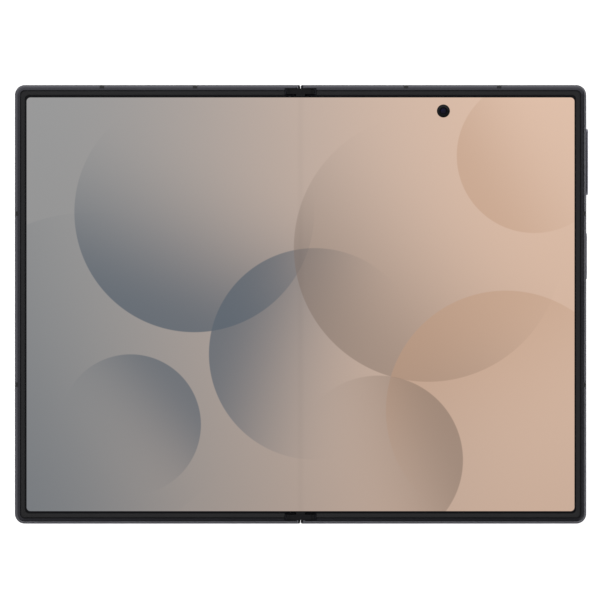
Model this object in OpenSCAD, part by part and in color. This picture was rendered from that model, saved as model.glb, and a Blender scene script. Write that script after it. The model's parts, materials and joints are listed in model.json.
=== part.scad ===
// Foldable smartphone, lying open on its back.
// The fold line runs along Y through the origin and the screen faces +Z.
// Z = 0 is the lowest point, the face of the rear lens rings.
// Each half is drawn with the height of its back face at zero, then lifted.

/* [Body] */
// Width of the open body across both halves, without the keys
body_w = 161.4; // [156:0.1:175]
// Height of the body along the fold
body_h = 123.9; // [122:0.1:140]
// Thickness of one half, from its back face to the top of its rim
half_t = 4.9; // [4.8:0.05:5.6]
// Radius of the outer corners, seen from the front
corner_r = 2.8; // [2.7:0.1:5]
// Radius of the rounded long edges of the metal band
edge_r = 0.8; // [0.4:0.05:0.9]
// Width of the metal band beside the screen
rim_t = 1.5; // [1.3:0.05:1.6]
// Thickness of the side wall below the screen
wall_t = 1.9; // [1.8:0.05:2.4]
// Thickness of the middle plate that carries the screen
plate_t = 0.55; // [0.4:0.05:0.7]

/* [Screen] */
// Depth of the screen below the top of the rim
screen_drop = 0.3; // [0.2:0.05:0.4]
// Thickness of the flexible panel
panel_t = 0.55; // [0.4:0.05:0.6]
// Thickness of the metal sheet under the panel
support_t = 0.15; // [0.1:0.05:0.2]
// Distance from the body's edge to the inner edge of the bezel
bezel_inset = 2.9; // [2.7:0.05:3.4]
// Gap between the metal band and the bezel
bezel_gap = 0.1; // [0.05:0.01:0.15]
// Radius of the screen's inner corners
screen_corner_r = 1.1; // [0.6:0.1:2]
// Radius of the front camera's hole
eye_r = 1.75; // [1.4:0.05:2]
// Distance from the top edge to the front camera
eye_drop = 7.35; // [7:0.05:9]

/* [Hinge] */
// Radius of the two rounded sides of the hinge cover
spine_r = 2.65; // [2.6:0.05:2.8]
// Running gap between the hinge cover and the halves
spine_gap = 0.1; // [0.06:0.01:0.15]
// Wall of the hinge cover
shell_t = 0.3; // [0.25:0.05:0.35]
// Thickness of each half's lip under the hinge cover
lip_t = 0.5; // [0.4:0.05:0.6]
// Gap between the two rims when folded
fold_gap = 0.2; // [0.16:0.02:0.4]
// Thickness of the rim walls past the ends of the hinge
end_wall = 0.9; // [0.8:0.05:1.1]
// Gap between the two rim ends when open
seam_gap = 0.16; // [0.12:0.02:0.3]
// Rounding of the rim ends at the fold
notch_r = 0.45; // [0.2:0.05:0.5]
// Thickness of the curved tongues that guide each half
tongue_t = 0.3; // [0.2:0.05:0.35]
// Width of one tongue along the fold
tongue_w = 6; // [4:0.5:8]
// Distance between the guide blocks along the fold
guide_pitch = 40; // [34:1:42]
// Radius of the trough that takes the folded screen
trough_r = 2.3; // [2.2:0.05:2.4]

/* [Timing gears] */
// Teeth of each gear
gear_teeth = 10; // [8:2:12]
// Width of the toothed part
gear_w = 1; // [0.8:0.1:1.1]
// Thickness of the arm that turns the outer gears
arm_t = 0.45; // [0.3:0.05:0.5]
// Play between two flanks
gear_play = 0.03; // [0.02:0.01:0.05]
// Radius of the gear pins
pin_r = 0.2; // [0.15:0.01:0.24]
// Running clearance of a gear on its pin
pin_play = 0.03; // [0.01:0.01:0.05]

/* [Keys] */
// Length of the volume key
volume_l = 18.7; // [12:0.1:22]
// Distance from the top edge to the volume key's centre
volume_drop = 21.75; // [20:0.05:24]
// Length of the power key
power_l = 13.1; // [10:0.1:15]
// Distance from the top edge to the power key's centre
power_drop = 48.35; // [46:0.05:50]
// Width of both keys across the edge
key_w = 2; // [1.6:0.05:2.1]
// Rounding of the keys' faces
key_r = 0.22; // [0.1:0.02:0.24]
// How far the volume key stands out
volume_out = 0.55; // [0.4:0.05:0.7]
// How far the power key stands out
power_out = 0.25; // [0.22:0.01:0.4]
// Travel of both keys
key_travel = 0.2; // [0.1:0.01:0.22]
// Gap round the keys
key_gap = 0.1; // [0.05:0.01:0.15]

/* [Rear camera] */
// Width of the camera island
island_w = 17; // [15:0.5:18]
// Length of the camera island
island_l = 45; // [42:0.5:50]
// Height of the camera island
island_h = 1.4; // [1:0.1:2]
// Rounding of the island's edge
island_r = 0.5; // [0.2:0.05:0.7]
// Height of the lens rings above the island
ring_h = 0.5; // [0.3:0.1:0.8]
// Outer radius of a lens ring
ring_r = 5.6; // [5:0.1:6]
// Radius of a lens glass
glass_r = 4.5; // [3.8:0.1:4.7]
// Distance between the lenses
lens_pitch = 13.4; // [12:0.1:14]

/* [Sockets] */
// Width of the charging socket's shell
usb_w = 8.94; // [8.94]
// Height of the charging socket's shell
usb_h = 3.16; // [3.16]
// Depth of the charging socket
usb_depth = 7.3; // [6:0.1:8]
// Width of the card tray
tray_w = 14.4; // [13.5:0.1:16]
// Length of the card tray
tray_l = 17.5; // [16:0.5:20]
// Thickness of the card tray
tray_t = 1.3; // [1.1:0.1:1.4]

/* [Hidden] */
$fn = 48;
TINY = 0.01;
FAR = 200;

// Heights above the back face of a half
back_z = island_h + ring_h;
back_glass_t = 0.5;
z_screen = half_t - screen_drop;
z_panel = z_screen - panel_t;
z_support = z_panel - support_t;
z_plate = z_support - plate_t;
z_floor = back_glass_t + 0.05;

// Plan of a half
half_w = body_w / 2;
top_y = body_h / 2;
half_mid_x = half_w / 2;
glass_inset = 1;
panel_inset = rim_t + 0.15;
panel_edge_y = top_y - bezel_inset - 0.45;

// Hinge, seen along Y
axis_z = lip_t + spine_gap + spine_r;
axis_x = half_t - axis_z + fold_gap / 2;
bay_r = spine_r + spine_gap;
bay_x = axis_x + bay_r;
rail_end_r = axis_x - 0.05;
shell_in_r = spine_r - shell_t;
shell_top = axis_z - 0.55;
shell_floor = axis_z - shell_in_r;
tongue_out_r = shell_in_r - 0.1;
tongue_in_r = tongue_out_r - tongue_t;
core_r = tongue_in_r - 0.05;
tongue_angle = 138;
tongue_gap = 0.15;
trough_floor = shell_floor + 1.06;
guide_top = axis_z - 0.35;
tab_t = 0.65;
tab_z = axis_z - 0.3;
tab_x = bay_x + 4.6;
tab_len = tongue_w + 2;
hinge_wall_x = bay_x + 1.4;
boss_x = tab_x + 0.4;
spine_end = top_y - end_wall - 0.1;
bay_end = top_y - end_wall;
fold_edge_y = panel_edge_y + 0.1;
guide_ys = [-guide_pitch, 0, guide_pitch];
block_l = 2 * tongue_w + 4;

// Gears
gear_pitch_r = axis_x / 3;
gear_module = 2 * gear_pitch_r / gear_teeth;
gear_in_y = fold_edge_y + 0.15;
teeth_in_y = gear_in_y + arm_t + 0.1;
gear_out_y = teeth_in_y + gear_w;
cap_in_y = gear_out_y + 0.05;
gear_tip_r = gear_pitch_r + 0.8 * gear_module;
gear_root_r = gear_pitch_r - 1.1 * gear_module;
arm_h = 0.56;

// Side keys
volume_y = top_y - volume_drop;
power_y = top_y - power_drop;
key_z = 2.25;
window_t = 1.3;
flange_t = 0.3;
flange_x = 0.6;
switch_x = half_w - window_t - flange_t - 0.45 - key_travel;

// Rear camera
island_x = half_w - 12.7;
island_y = top_y - 25.45;
island_wall = 0.8;
ring_bevel = 0.15;
lens_ys = [island_y + lens_pitch, island_y, island_y - lens_pitch];
flash_x = island_x - 16;
flash_y = top_y - 11.95;
flash_r = 2.2;

// Inner pieces
bay_wall_t = 0.8;
board_t = 0.6;
board_z = 1.5;
main_board_y0 = top_y - 42.95;
right_cell_y0 = 17.95 - top_y;
right_cell_y1 = main_board_y0 - 2;
left_cell_y0 = 25.95 - top_y;
left_cell_y1 = top_y - 31.95;
lower_board_y1 = right_cell_y0 - 3;
earpiece_x = half_w - 21.7;
earpiece_l = 16;
earpiece_y0 = top_y - 8.35;
battery_top = z_plate - 0.05;
usb_z = usb_h / 2 + 0.65;
usb_wall = 0.3;
tray_x = 22.7 - half_w;
tray_z = 2.1;
tray_face_h = 2;
break_w = 1.3;
break_depth = 1;
break_top_xs = [29.8, half_w - 24.6];
break_side_ys = [top_y - 36.35, 39.25 - top_y];

// ---- Helpers -------------------------------------------------------------

// Raises a half's piece from its back face to its place above the floor
module lift() {
    translate([0, 0, back_z]) children();
}

// Mirrors a right-hand piece for the left half
module left() {
    mirror([1, 0, 0]) children();
}

// Repeats a piece at the top and the bottom of the fold
module both_ends() {
    children();
    mirror([0, 1, 0]) children();
}

// Extrudes an outline drawn in X and Z along Y, from y0 to y1
module along_y(y0, y1) {
    translate([0, y1, 0]) rotate([90, 0, 0]) linear_extrude(y1 - y0) children();
}

// Box given by its lowest and highest corners
module block(a, b) {
    translate(a) cube(b - a);
}

// Plan of the right half from x0 outward, drawn in by inset, with round corners
module half_plan(x0, inset, r) {
    x1 = half_w - inset;
    y1 = top_y - inset;
    translate([x0, -y1]) square([x1 - r - x0, 2 * y1]);
    translate([x1 - r - TINY, r - y1]) square([r + TINY, 2 * (y1 - r)]);
    for (s = [-1, 1]) translate([x1 - r, s * (y1 - r)]) circle(r = r);
}

// Plate with the plan above
module half_layer(x0, inset, r, z0, z1) {
    translate([0, 0, z0]) linear_extrude(z1 - z0) half_plan(x0, inset, r);
}

// Stadium that lies in Y and Z, extruded from x0 to x1
module edge_stadium(x0, x1, len, h, y, z) {
    translate([x0, y, z]) rotate([90, 0, 90]) linear_extrude(x1 - x0) stadium(len, h);
}

// Flat stadium, long along its own X
module stadium(len, h) {
    square([len - h, h], center = true);
    for (s = [-1, 1]) translate([s * (len - h) / 2, 0]) circle(r = h / 2);
}

// Section of a pill: its upper corners are rounded by r
module soft_section(w, h, r) {
    translate([-w / 2, 0]) square([w, h - r]);
    translate([r - w / 2, 0]) square([w - 2 * r, h]);
    for (s = [-1, 1]) translate([s * (w / 2 - r), h - r]) circle(r = r);
}

// Pill that stands on its flat side, long along X, with a rounded upper edge
module soft_pill(len, w, h, r) {
    half = (len - w) / 2;
    translate([-half, 0, 0]) rotate([90, 0, 90]) linear_extrude(2 * half) soft_section(w, h, r);
    for (s = [-1, 1])
        translate([s * half, 0, 0]) rotate([0, 0, -90 * s]) rotate_extrude(angle = 180)
            intersection() {
                soft_section(w, h, r);
                square([w, h]);
            }
}

// Cylinder between two heights
module post(x, y, r, z0, z1) {
    translate([x, y, z0]) cylinder(r = r, h = z1 - z0);
}

// ---- Frames --------------------------------------------------------------

// Section of the metal band: X is the distance in from the outer face
module rim_section() {
    translate([edge_r, 0]) square([glass_inset - edge_r, half_t]);
    translate([0, edge_r]) square([glass_inset, half_t - 2 * edge_r]);
    translate([glass_inset - TINY, back_glass_t]) square([rim_t - glass_inset + TINY, half_t - back_glass_t]);
    for (z = [edge_r, half_t - edge_r]) translate([edge_r, z]) circle(r = edge_r);
}

// Metal band round three sides of the right half
module rim() {
    x1 = half_w - corner_r;
    y1 = top_y - corner_r;
    x0 = seam_gap / 2;
    translate([half_w, y1, 0]) rotate([90, 0, 0]) linear_extrude(2 * y1) mirror([1, 0]) rim_section();
    both_ends()
        translate([x0, top_y, 0]) rotate([90, 0, 90]) linear_extrude(x1 - x0) mirror([1, 0]) rim_section();
    both_ends()
        translate([x1, y1, 0]) rotate_extrude(angle = 90)
            intersection() {
                translate([corner_r, 0]) mirror([1, 0]) rim_section();
                square([corner_r, half_t]);
            }
}

// Space in the frame for the hinge, seen along Y
module bay_outline() {
    translate([axis_x, axis_z]) circle(r = bay_r);
    translate([-1, lip_t]) square([axis_x + 1, half_t]);
    translate([-1, axis_z]) square([bay_x + 1, half_t]);
}

// What the rims lose at the fold: the upper quarter turns about the hinge axis
module rim_end_relief() {
    both_ends() {
        along_y(bay_end - TINY, top_y + 1) difference() {
            translate([-1, axis_z]) square([axis_x + 1, half_t]);
            translate([axis_x, axis_z]) circle(r = rail_end_r);
        }
        translate([0, 0, -1]) linear_extrude(half_t + 2) difference() {
            translate([-1, top_y - notch_r]) square([1 + seam_gap / 2 + notch_r, notch_r + 1]);
            translate([seam_gap / 2 + notch_r, top_y - notch_r]) circle(r = notch_r);
        }
    }
}

// Solid metal that the hinge brackets are screwed to
module bracket_bosses() {
    for (y = guide_ys)
        block([hinge_wall_x - 1, y - block_l / 2 - 1, back_glass_t], [boss_x, y + block_l / 2 + 1, z_plate + TINY]);
}

// Wall across the frame that parts one bay from the next, from x0 to x1
module bay_wall(y, x0, x1, z0) {
    block([x0, y - bay_wall_t / 2, z0], [x1, y + bay_wall_t / 2, z_plate + TINY]);
}

// Cuts for the hinge brackets and their screws
module bracket_pockets() {
    for (y = guide_ys) {
        y0 = y + tongue_gap;
        block([axis_x, y0 - 0.1, tab_z], [tab_x + 0.1, y0 + tab_len + 0.1, half_t]);
        for (p = screw_spots()) post(p[0], y + p[1], 0.52, 1.2, z_support);
    }
}

// Cuts for the timing arms and the flex cables
module hinge_pockets() {
    both_ends() block([axis_x, gear_in_y - 0.1, arm_z()], [arm_x() + 0.1, gear_in_y + arm_t + 0.1, half_t]);
    for (y = flex_ys()) block([axis_x, y - flex_w() / 2 - 0.2, tab_z - 0.2], [hinge_wall_x + 1, y + flex_w() / 2 + 0.2, z_plate - 0.1]);
}

function arm_z() = axis_z - arm_h / 2;
function arm_x() = bay_x + 2.4;
function flex_ys() = [-guide_pitch / 2, guide_pitch / 2];
function flex_w() = 8;

// Body of one half before its own cuts, on the right-hand side; children are its bay walls
module half_frame() {
    difference() {
        union() {
            children();
            rim();
            difference() {
                half_layer(hinge_wall_x, glass_inset - 0.1, corner_r - glass_inset, back_glass_t, z_plate + TINY);
                half_layer(hinge_wall_x + TINY, wall_t, 1, 0, z_plate);
            }
            half_layer(hinge_wall_x, glass_inset - 0.1, corner_r - glass_inset, z_plate, z_support);
            block([seam_gap / 2, -bay_end - 0.2, 0], [hinge_wall_x + TINY, bay_end + 0.2, z_support]);
            bracket_bosses();
        }
        along_y(-bay_end, bay_end) bay_outline();
        rim_end_relief();
        half_layer(glass_x(), glass_inset, corner_r - glass_inset, -1, back_glass_t);
        hinge_pockets();
    }
}

function glass_x() = bay_x + 0.3;
function screw_spots() = [for (dy = [1.5, tab_len - 1.5]) [tab_x - 2, tongue_gap + dy]];

// Pieces of plastic that split the metal band into aerials
module break_boxes() {
    for (x = break_top_xs)
        block([x - break_w / 2, top_y - break_depth, -1], [x + break_w / 2, top_y + 1, half_t + 1]);
    for (y = break_side_ys)
        block([half_w - break_depth, y - break_w / 2, -1], [half_w + 1, y + break_w / 2, half_t + 1]);
}

module antenna_breaks() {
    intersection() {
        rim();
        break_boxes();
    }
}

// Row of sound holes through the rim along Y
module sound_holes(x0, count, side) {
    for (i = [0 : count - 1])
        translate([x0 + 2 * i, side * (top_y - wall_t - 1), key_z]) rotate([-90 * side, 0, 0])
            cylinder(r = 0.55, h = wall_t + 2);
}

// Small hole for a microphone or an eject pin
module mic_hole(x, side) {
    translate([x, side * (top_y - wall_t - 1), key_z]) rotate([-90 * side, 0, 0]) cylinder(r = 0.3, h = wall_t + 2);
}

// Opening of one side key: window, and room for its flange behind
module key_opening(len, y) {
    edge_stadium(half_w - window_t - TINY, half_w + 1, len + 2 * key_gap, key_w + 2 * key_gap, y, key_z);
    edge_stadium(half_w - wall_t - 1, half_w - window_t, len + 2 * flange_x + 0.4, key_w + 0.3, y, key_z);
}

module usb_cut() {
    w = usb_w + 0.06;
    h = usb_h + 0.06;
    translate([half_mid_x, -top_y - 1, usb_z]) rotate([-90, 0, 0]) linear_extrude(wall_t + 2) stadium(w, h);
    block([half_mid_x - w / 2 - 0.2, rim_t - top_y, 1.2], [half_mid_x + w / 2 + 0.2, usb_depth + 1 - top_y, z_support]);
}

module right_frame() color("#5c5b61") lift() difference() {
    half_frame() {
        bay_wall(right_cell_y1 + 1, boss_x, island_x - 6.5, z_floor + 0.1);
        bay_wall((right_cell_y0 + lower_board_y1) / 2, hinge_wall_x, half_w - wall_t + TINY, z_floor + 0.1);
    }
    bracket_pockets();
    break_boxes();
    key_opening(volume_l, volume_y);
    key_opening(power_l, power_y);
    usb_cut();
    sound_holes(speaker_x0() + 2.65, 6, -1);
    sound_holes(bay_x + 3.5, 6, 1);
    mic_hole(half_mid_x - 10.35, -1);
    mic_hole(half_mid_x + 5.65, 1);
    post(eye_x(), eye_y(), eye_r + 0.15, z_plate - 1, z_support + 1);
}

function eye_x() = half_mid_x;
function eye_y() = top_y - eye_drop;

module left_frame() color("#5c5b61") lift() left() difference() {
    half_frame() {
        bay_wall(left_cell_y1 + 1.5, hinge_wall_x, half_w - wall_t + TINY, z_floor + 1);
        bay_wall(left_cell_y0 - 3, hinge_wall_x, half_w - 5, z_floor + 1);
    }
    mirror([0, 1, 0]) bracket_pockets();
    break_boxes();
    sound_holes(earpiece_x - 5, 6, 1);
    mic_hole(half_mid_x - 16.35, -1);
    tray_cut();
}

module right_antenna_breaks() color("#3a3a3e") lift() antenna_breaks();
module left_antenna_breaks() color("#3a3a3e") lift() left() antenna_breaks();

// ---- Screen --------------------------------------------------------------

// Soft frame that covers the screen's edge on one half
module bezel() {
    difference() {
        half_layer(bay_x, rim_t + bezel_gap, corner_r - rim_t, z_screen, half_t);
        half_layer(bay_x - 1, bezel_inset, screen_corner_r, z_screen - 1, half_t + 1);
    }
}

module right_bezel() color("#28282b") lift() bezel();
module left_bezel() color("#28282b") lift() left() bezel();

module screen_layer(z0, z1) {
    half_layer(bay_x, panel_inset, corner_r - rim_t, z0, z1);
}

module right_screen_panel() color("#c9b29c") lift() difference() {
    screen_layer(z_panel, z_screen);
    post(eye_x(), eye_y(), eye_r, z_panel - 1, z_screen + 1);
}

module left_screen_panel() color("#92928f") lift() left() screen_layer(z_panel, z_screen);

module right_screen_plate() color("#8a8d92") lift() difference() {
    screen_layer(z_support, z_panel);
    post(eye_x(), eye_y(), eye_r + 0.1, z_support - 1, z_panel + 1);
}

module left_screen_plate() color("#8a8d92") lift() left() screen_layer(z_support, z_panel);

// Screen over the hinge; it bends into the trough when the body folds
module fold_screen_strip() color("#a79a8d") lift()
    block([-bay_x, -fold_edge_y, z_panel], [bay_x, fold_edge_y, z_screen]);

// Slotted sheet under the strip, which lets it bend
module fold_lattice() color("#8a8d92") lift() difference() {
    block([-bay_x, -fold_edge_y, z_support], [bay_x, fold_edge_y, z_panel]);
    rows = floor((fold_edge_y - 3) / 5);
    for (i = [-3 : 3], j = [-rows : rows]) {
        x = i * 0.8;
        y = j * 5 + (abs(i) % 2) * 2.5;
        block([x - 0.15, y - 2, z_support - 1], [x + 0.15, y + 2, z_panel + 1]);
    }
}

// ---- Back faces ----------------------------------------------------------

module back_sheet() {
    half_layer(glass_x() + 0.03, glass_inset + 0.03, corner_r - glass_inset, 0, back_glass_t);
}

// Flat pill of the camera island, drawn in by inset
module island_plan(inset) {
    translate([island_x, island_y]) rotate([0, 0, 90]) stadium(island_l - 2 * inset, island_w - 2 * inset);
}

module right_back_glass() color("#3b3c40") lift() difference() {
    back_sheet();
    translate([0, 0, -1]) linear_extrude(3) island_plan(island_wall - 0.03);
    post(flash_x, flash_y, flash_r + 0.03, -1, 2);
}

module cover_glass() color("#17181b") lift() left() back_sheet();

module camera_island() color("#4a4a4f") lift() difference() {
    union() {
        translate([island_x, island_y, 0]) rotate([0, 0, 90]) mirror([0, 0, 1]) soft_pill(island_l, island_w, island_h, island_r);
        translate([0, 0, -TINY]) linear_extrude(back_glass_t + TINY) island_plan(island_wall);
        for (y = lens_ys) {
            post(island_x, y, ring_r, ring_bevel - island_h - ring_h, 0);
            translate([island_x, y, -island_h - ring_h]) cylinder(r1 = ring_r - ring_bevel, r2 = ring_r, h = ring_bevel);
        }
    }
    translate([0, 0, 0.6 - island_h]) linear_extrude(island_h + 1) island_plan(island_wall + 0.8);
    for (y = lens_ys) post(island_x, y, glass_r + 0.03, -island_h - 2, 0);
}

module lens_glasses() color("#101216") lift()
    for (y = lens_ys) post(island_x, y, glass_r, 0.15 - island_h - ring_h, 0.6 - island_h);

module camera_modules() color("#1c1d20") lift()
    for (y = lens_ys) {
        post(island_x, y, 3.9, 0.7 - island_h, 1);
        block([island_x - 5, y - 5, 1 - TINY], [island_x + 5, y + 5, battery_top]);
    }

module flash_lens() color("#d8d2bd") lift() post(flash_x, flash_y, flash_r, 0, back_glass_t);

// ---- Electronics of the right half ---------------------------------------

module front_camera() color("#15161a") lift() {
    post(eye_x(), eye_y(), eye_r - 0.1, 2.2, z_screen - 0.12);
    block([eye_x() - 2.7, eye_y() - 2.7, 0.9], [eye_x() + 2.7, eye_y() + 2.7, 2.3]);
}

module main_board() color("#1f4a33") lift() difference() {
    block([boss_x + 0.6, main_board_y0, board_z], [island_x - 6, top_y - wall_t - 0.6, board_z + board_t]);
    block([eye_x() - 3.1, eye_y() - 3.1, 0], [eye_x() + 3.1, top_y, half_t]);
}

module board_shields() color("#b9bcc0") lift() {
    z0 = board_z + board_t;
    z1 = battery_top;
    x0 = boss_x + 2.5;
    x1 = island_x - 10;
    mid = (x0 + x1) / 2;
    y0 = main_board_y0 + 3;
    block([x0, y0, z0], [mid - 1, top_y - 16.95, z1]);
    block([x0, top_y - 14.95, z0], [mid - 1, top_y - 4.95, z1]);
    block([mid + 1, y0, z0], [x1, y0 + 14, z1]);
    block([mid + 1, y0 + 16, z0], [x1, eye_y() - 6.6, z1]);
    block([x0 + 2, y0 + 2, z_floor + 0.1], [half_mid_x, top_y - 17.95, board_z]);
}

module right_battery() color("#2c2d31") lift()
    block([boss_x + 0.6, right_cell_y0, z_floor + 0.4], [half_w - 5, right_cell_y1, battery_top]);

module lower_board() color("#1f4a33") lift() difference() {
    block([boss_x + 2, 2.4 - top_y, 1.5], [half_w - 6, lower_board_y1, 2]);
    block([half_mid_x - usb_w / 2 - 0.3, -top_y, 0], [half_mid_x + usb_w / 2 + 0.3, usb_depth + 0.5 - top_y, half_t]);
    block([speaker_x0() - 0.2, -top_y, 0], [half_w, lower_board_y1 - 2, half_t]);
}

function speaker_x0() = half_mid_x + 9;

module loudspeaker() color("#26272b") lift()
    block([speaker_x0(), 2.1 - top_y, z_floor + 0.3], [half_w - 3, lower_board_y1 - 3, battery_top]);

module usb_shell() color("#a9abb0") lift() translate([half_mid_x, 0.15 - top_y, usb_z]) rotate([-90, 0, 0])
    difference() {
        linear_extrude(usb_depth) stadium(usb_w, usb_h);
        translate([0, 0, -1]) linear_extrude(usb_depth + 0.4) stadium(usb_w - 2 * usb_wall, usb_h - 2 * usb_wall);
    }

module usb_tongue() color("#18191b") lift() {
    y0 = 0.15 - top_y;
    block([half_mid_x - 3.35, y0 + 1.5, usb_z - 0.35], [half_mid_x + 3.35, y0 + usb_depth - 0.6, usb_z + 0.35]);
}

module vibration_motor() color("#9da0a6") lift()
    block([boss_x + 4, lower_board_y1 - 8.5, 2], [boss_x + 14, lower_board_y1 - 0.5, battery_top]);

// Flat charging coil between the battery and the back glass
module charging_coil() color("#b06a3c") lift() translate([half_mid_x, (right_cell_y0 + right_cell_y1) / 2, z_floor + 0.05]) difference() {
    cylinder(r = 20, h = 0.25);
    translate([0, 0, -1]) cylinder(r = 10, h = 3);
    for (r = [12 : 1.6 : 18.4])
        translate([0, 0, 0.15]) difference() {
            cylinder(r = r + 0.15, h = 1);
            cylinder(r = r - 0.15, h = 3, center = true);
        }
}

module key_switches() color("#6c6f55") lift() {
    block([switch_x - 0.7, power_y - 9, 1], [switch_x - 0.4, volume_y + 11, battery_top]);
    for (y = [power_y, volume_y - 5, volume_y + 5])
        translate([switch_x - 0.4, y, key_z]) rotate([0, 90, 0]) cylinder(r = 0.9, h = 0.4);
}

// ---- Side keys -----------------------------------------------------------

// Key with a softened outer face, a flange that holds it in and its nubs
module side_key(len, y, out, nubs) {
    x0 = half_w - window_t - TINY;
    translate([x0, y, key_z]) rotate([90, 0, 90]) soft_pill(len, key_w, half_w + out - x0, key_r);
    edge_stadium(half_w - window_t - flange_t - 0.05, half_w - window_t - 0.05, len + 2 * flange_x, key_w + 0.1, y, key_z);
    edge_stadium(half_w - window_t - 0.06, half_w - window_t, len, key_w, y, key_z);
    for (dy = nubs)
        translate([switch_x + key_travel + 0.05, y + dy, key_z]) rotate([0, 90, 0])
            cylinder(r = 0.5, h = half_w - window_t - flange_t - switch_x - key_travel);
}

module volume_key() color("#5b5b61") lift() side_key(volume_l, volume_y, volume_out, [-5, 5]);
module power_key() color("#55555b") lift() side_key(power_l, power_y, power_out, [0]);

// ---- Inside of the left half ---------------------------------------------

module cover_screen() color("#0c0d10") lift() left() difference() {
    half_layer(boss_x - 3, wall_t + 0.4, 1, z_floor, z_floor + 0.8);
    post(half_mid_x, top_y - 8, 2.1, 0, 3);
    block([-tray_x - 9, -top_y, 0], [-tray_x + 9, 3 - top_y, 3]);
    for (y = guide_ys) block([0, y - block_l / 2 - 1.2, 0], [boss_x + 0.2, y + block_l / 2 + 1.2, 3]);
}

module cover_camera() color("#15161a") lift() left() {
    post(half_mid_x, top_y - 8, 1.8, z_floor, 1.6);
    block([half_mid_x - 2.6, top_y - 10.6, 1.5], [half_mid_x + 2.6, top_y - 5.4, 3]);
}

module left_battery() color("#2c2d31") lift() left()
    block([boss_x + 0.6, left_cell_y0, z_floor + 1], [half_w - 5, left_cell_y1, battery_top]);

module left_board() color("#1f4a33") lift() left() difference() {
    block([boss_x + 0.6, left_cell_y1 + 3, battery_top - 0.5], [half_w - 4, top_y - wall_t - 0.6, battery_top]);
    block([half_mid_x - 3, top_y - 11, 0], [half_mid_x + 3, top_y, half_t]);
    block([earpiece_x - earpiece_l / 2 - 1, earpiece_y0 - 0.6, 0], [earpiece_x + earpiece_l / 2 + 1, top_y, half_t]);
}

module earpiece() color("#26272b") lift() left()
    block([earpiece_x - earpiece_l / 2, earpiece_y0, 1.6], [earpiece_x + earpiece_l / 2, top_y - wall_t - 0.3, battery_top]);

// Slot in the rim for the card tray, on the right-hand side before mirroring
module tray_cut() {
    x = -tray_x;
    translate([x, -top_y - 1, tray_z]) rotate([-90, 0, 0]) linear_extrude(wall_t + 2) stadium(tray_w + 0.1, tray_face_h + 0.1);
    block([x - tray_w / 2 - 0.1, 0.9 - top_y, tray_z - tray_face_h / 2 - 0.05], [x + tray_w / 2 + 0.1, wall_t + 0.5 - top_y, tray_z + tray_face_h / 2 + 0.05]);
}

module card_tray() color("#5c5b61") lift() difference() {
    y0 = -top_y;
    union() {
        translate([tray_x, y0, tray_z]) rotate([-90, 0, 0]) linear_extrude(1.3) stadium(tray_w, tray_face_h);
        block([tray_x - tray_w / 2 + 0.3, y0 + 1, tray_z - tray_t / 2], [tray_x + tray_w / 2 - 0.3, y0 + tray_l, tray_z + tray_t / 2]);
    }
    block([tray_x - 6.2, y0 + 3, tray_z - tray_t / 2 + 0.4], [tray_x + 6.2, y0 + 11.9, tray_z + tray_t]);
    translate([tray_x - 5.6, y0 - 1, tray_z]) rotate([-90, 0, 0]) cylinder(r = 0.4, h = 3);
}

module card() color("#c9a24b") lift()
    block([tray_x - 6.15, 3.05 - top_y, tray_z - tray_t / 2 + 0.4], [tray_x + 6.15, 11.85 - top_y, tray_z + tray_t / 2 - 0.2]);

module card_reader() color("#a9abb0") lift() difference() {
    block([tray_x - tray_w / 2 - 0.7, wall_t + 0.6 - top_y, z_floor + 0.85], [tray_x + tray_w / 2 + 0.7, tray_l + 1.2 - top_y, battery_top]);
    block([tray_x - tray_w / 2 - 0.1, 0.5 - top_y, tray_z - tray_t / 2 - 0.1], [tray_x + tray_w / 2 + 0.1, tray_l + 0.3 - top_y, tray_z + tray_t / 2 + 0.1]);
}

// Magnets that hold the folded halves together
module magnets() {
    for (i = [0 : 3])
        block([half_w - 4.4, 21.95 - top_y + 8 * i, z_floor + 0.9], [half_w - 2.4, 28.95 - top_y + 8 * i, battery_top]);
}

module right_magnets() color("#8f9298") lift() magnets();
module left_magnets() color("#8f9298") lift() left() magnets();

// ---- Hinge ---------------------------------------------------------------

// Part of a ring about the right-hand hinge axis, seen along Y
module ring_sector(r0, r1, a0, a1) {
    steps = 12;
    far = 3 * r1;
    translate([axis_x, axis_z]) intersection() {
        difference() {
            circle(r = r1);
            circle(r = r0);
        }
        polygon(concat([[0, 0]], [for (i = [0 : steps]) let (a = a0 + (a1 - a0) * i / steps) far * [cos(a), sin(a)]]));
    }
}

// Hinge bracket: a screwed tab with a curved tongue about the fold axis
module hinge_brackets() {
    for (y = guide_ys) {
        y0 = y + tongue_gap;
        difference() {
            union() {
                along_y(y0 + 1, y0 + 1 + tongue_w) ring_sector(tongue_in_r, tongue_out_r, -tongue_angle, 0);
                block([axis_x + tongue_in_r + 0.02, y0 + 1, tab_z], [bay_x + 0.1, y0 + 1 + tongue_w, tab_z + tab_t]);
                block([bay_x + 0.05, y0, tab_z], [tab_x, y0 + tab_len, tab_z + tab_t]);
            }
            for (p = screw_spots()) post(p[0], y + p[1], 0.52, 0, half_t);
        }
    }
}

module bracket_screws() {
    for (y = guide_ys, p = screw_spots()) {
        post(p[0], y + p[1], 0.5, 1.25, tab_z + tab_t + TINY);
        difference() {
            post(p[0], y + p[1], 0.85, tab_z + tab_t, z_support - 0.02);
            post(p[0], y + p[1], 0.35, tab_z + tab_t + 0.12, z_support);
        }
    }
}

module right_hinge_brackets() color("#a4a7ad") lift() hinge_brackets();
module left_hinge_brackets() color("#a4a7ad") lift() rotate([0, 0, 180]) hinge_brackets();
module right_bracket_screws() color("#c4c7cc") lift() bracket_screws();
module left_bracket_screws() color("#c4c7cc") lift() rotate([0, 0, 180]) bracket_screws();

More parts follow.
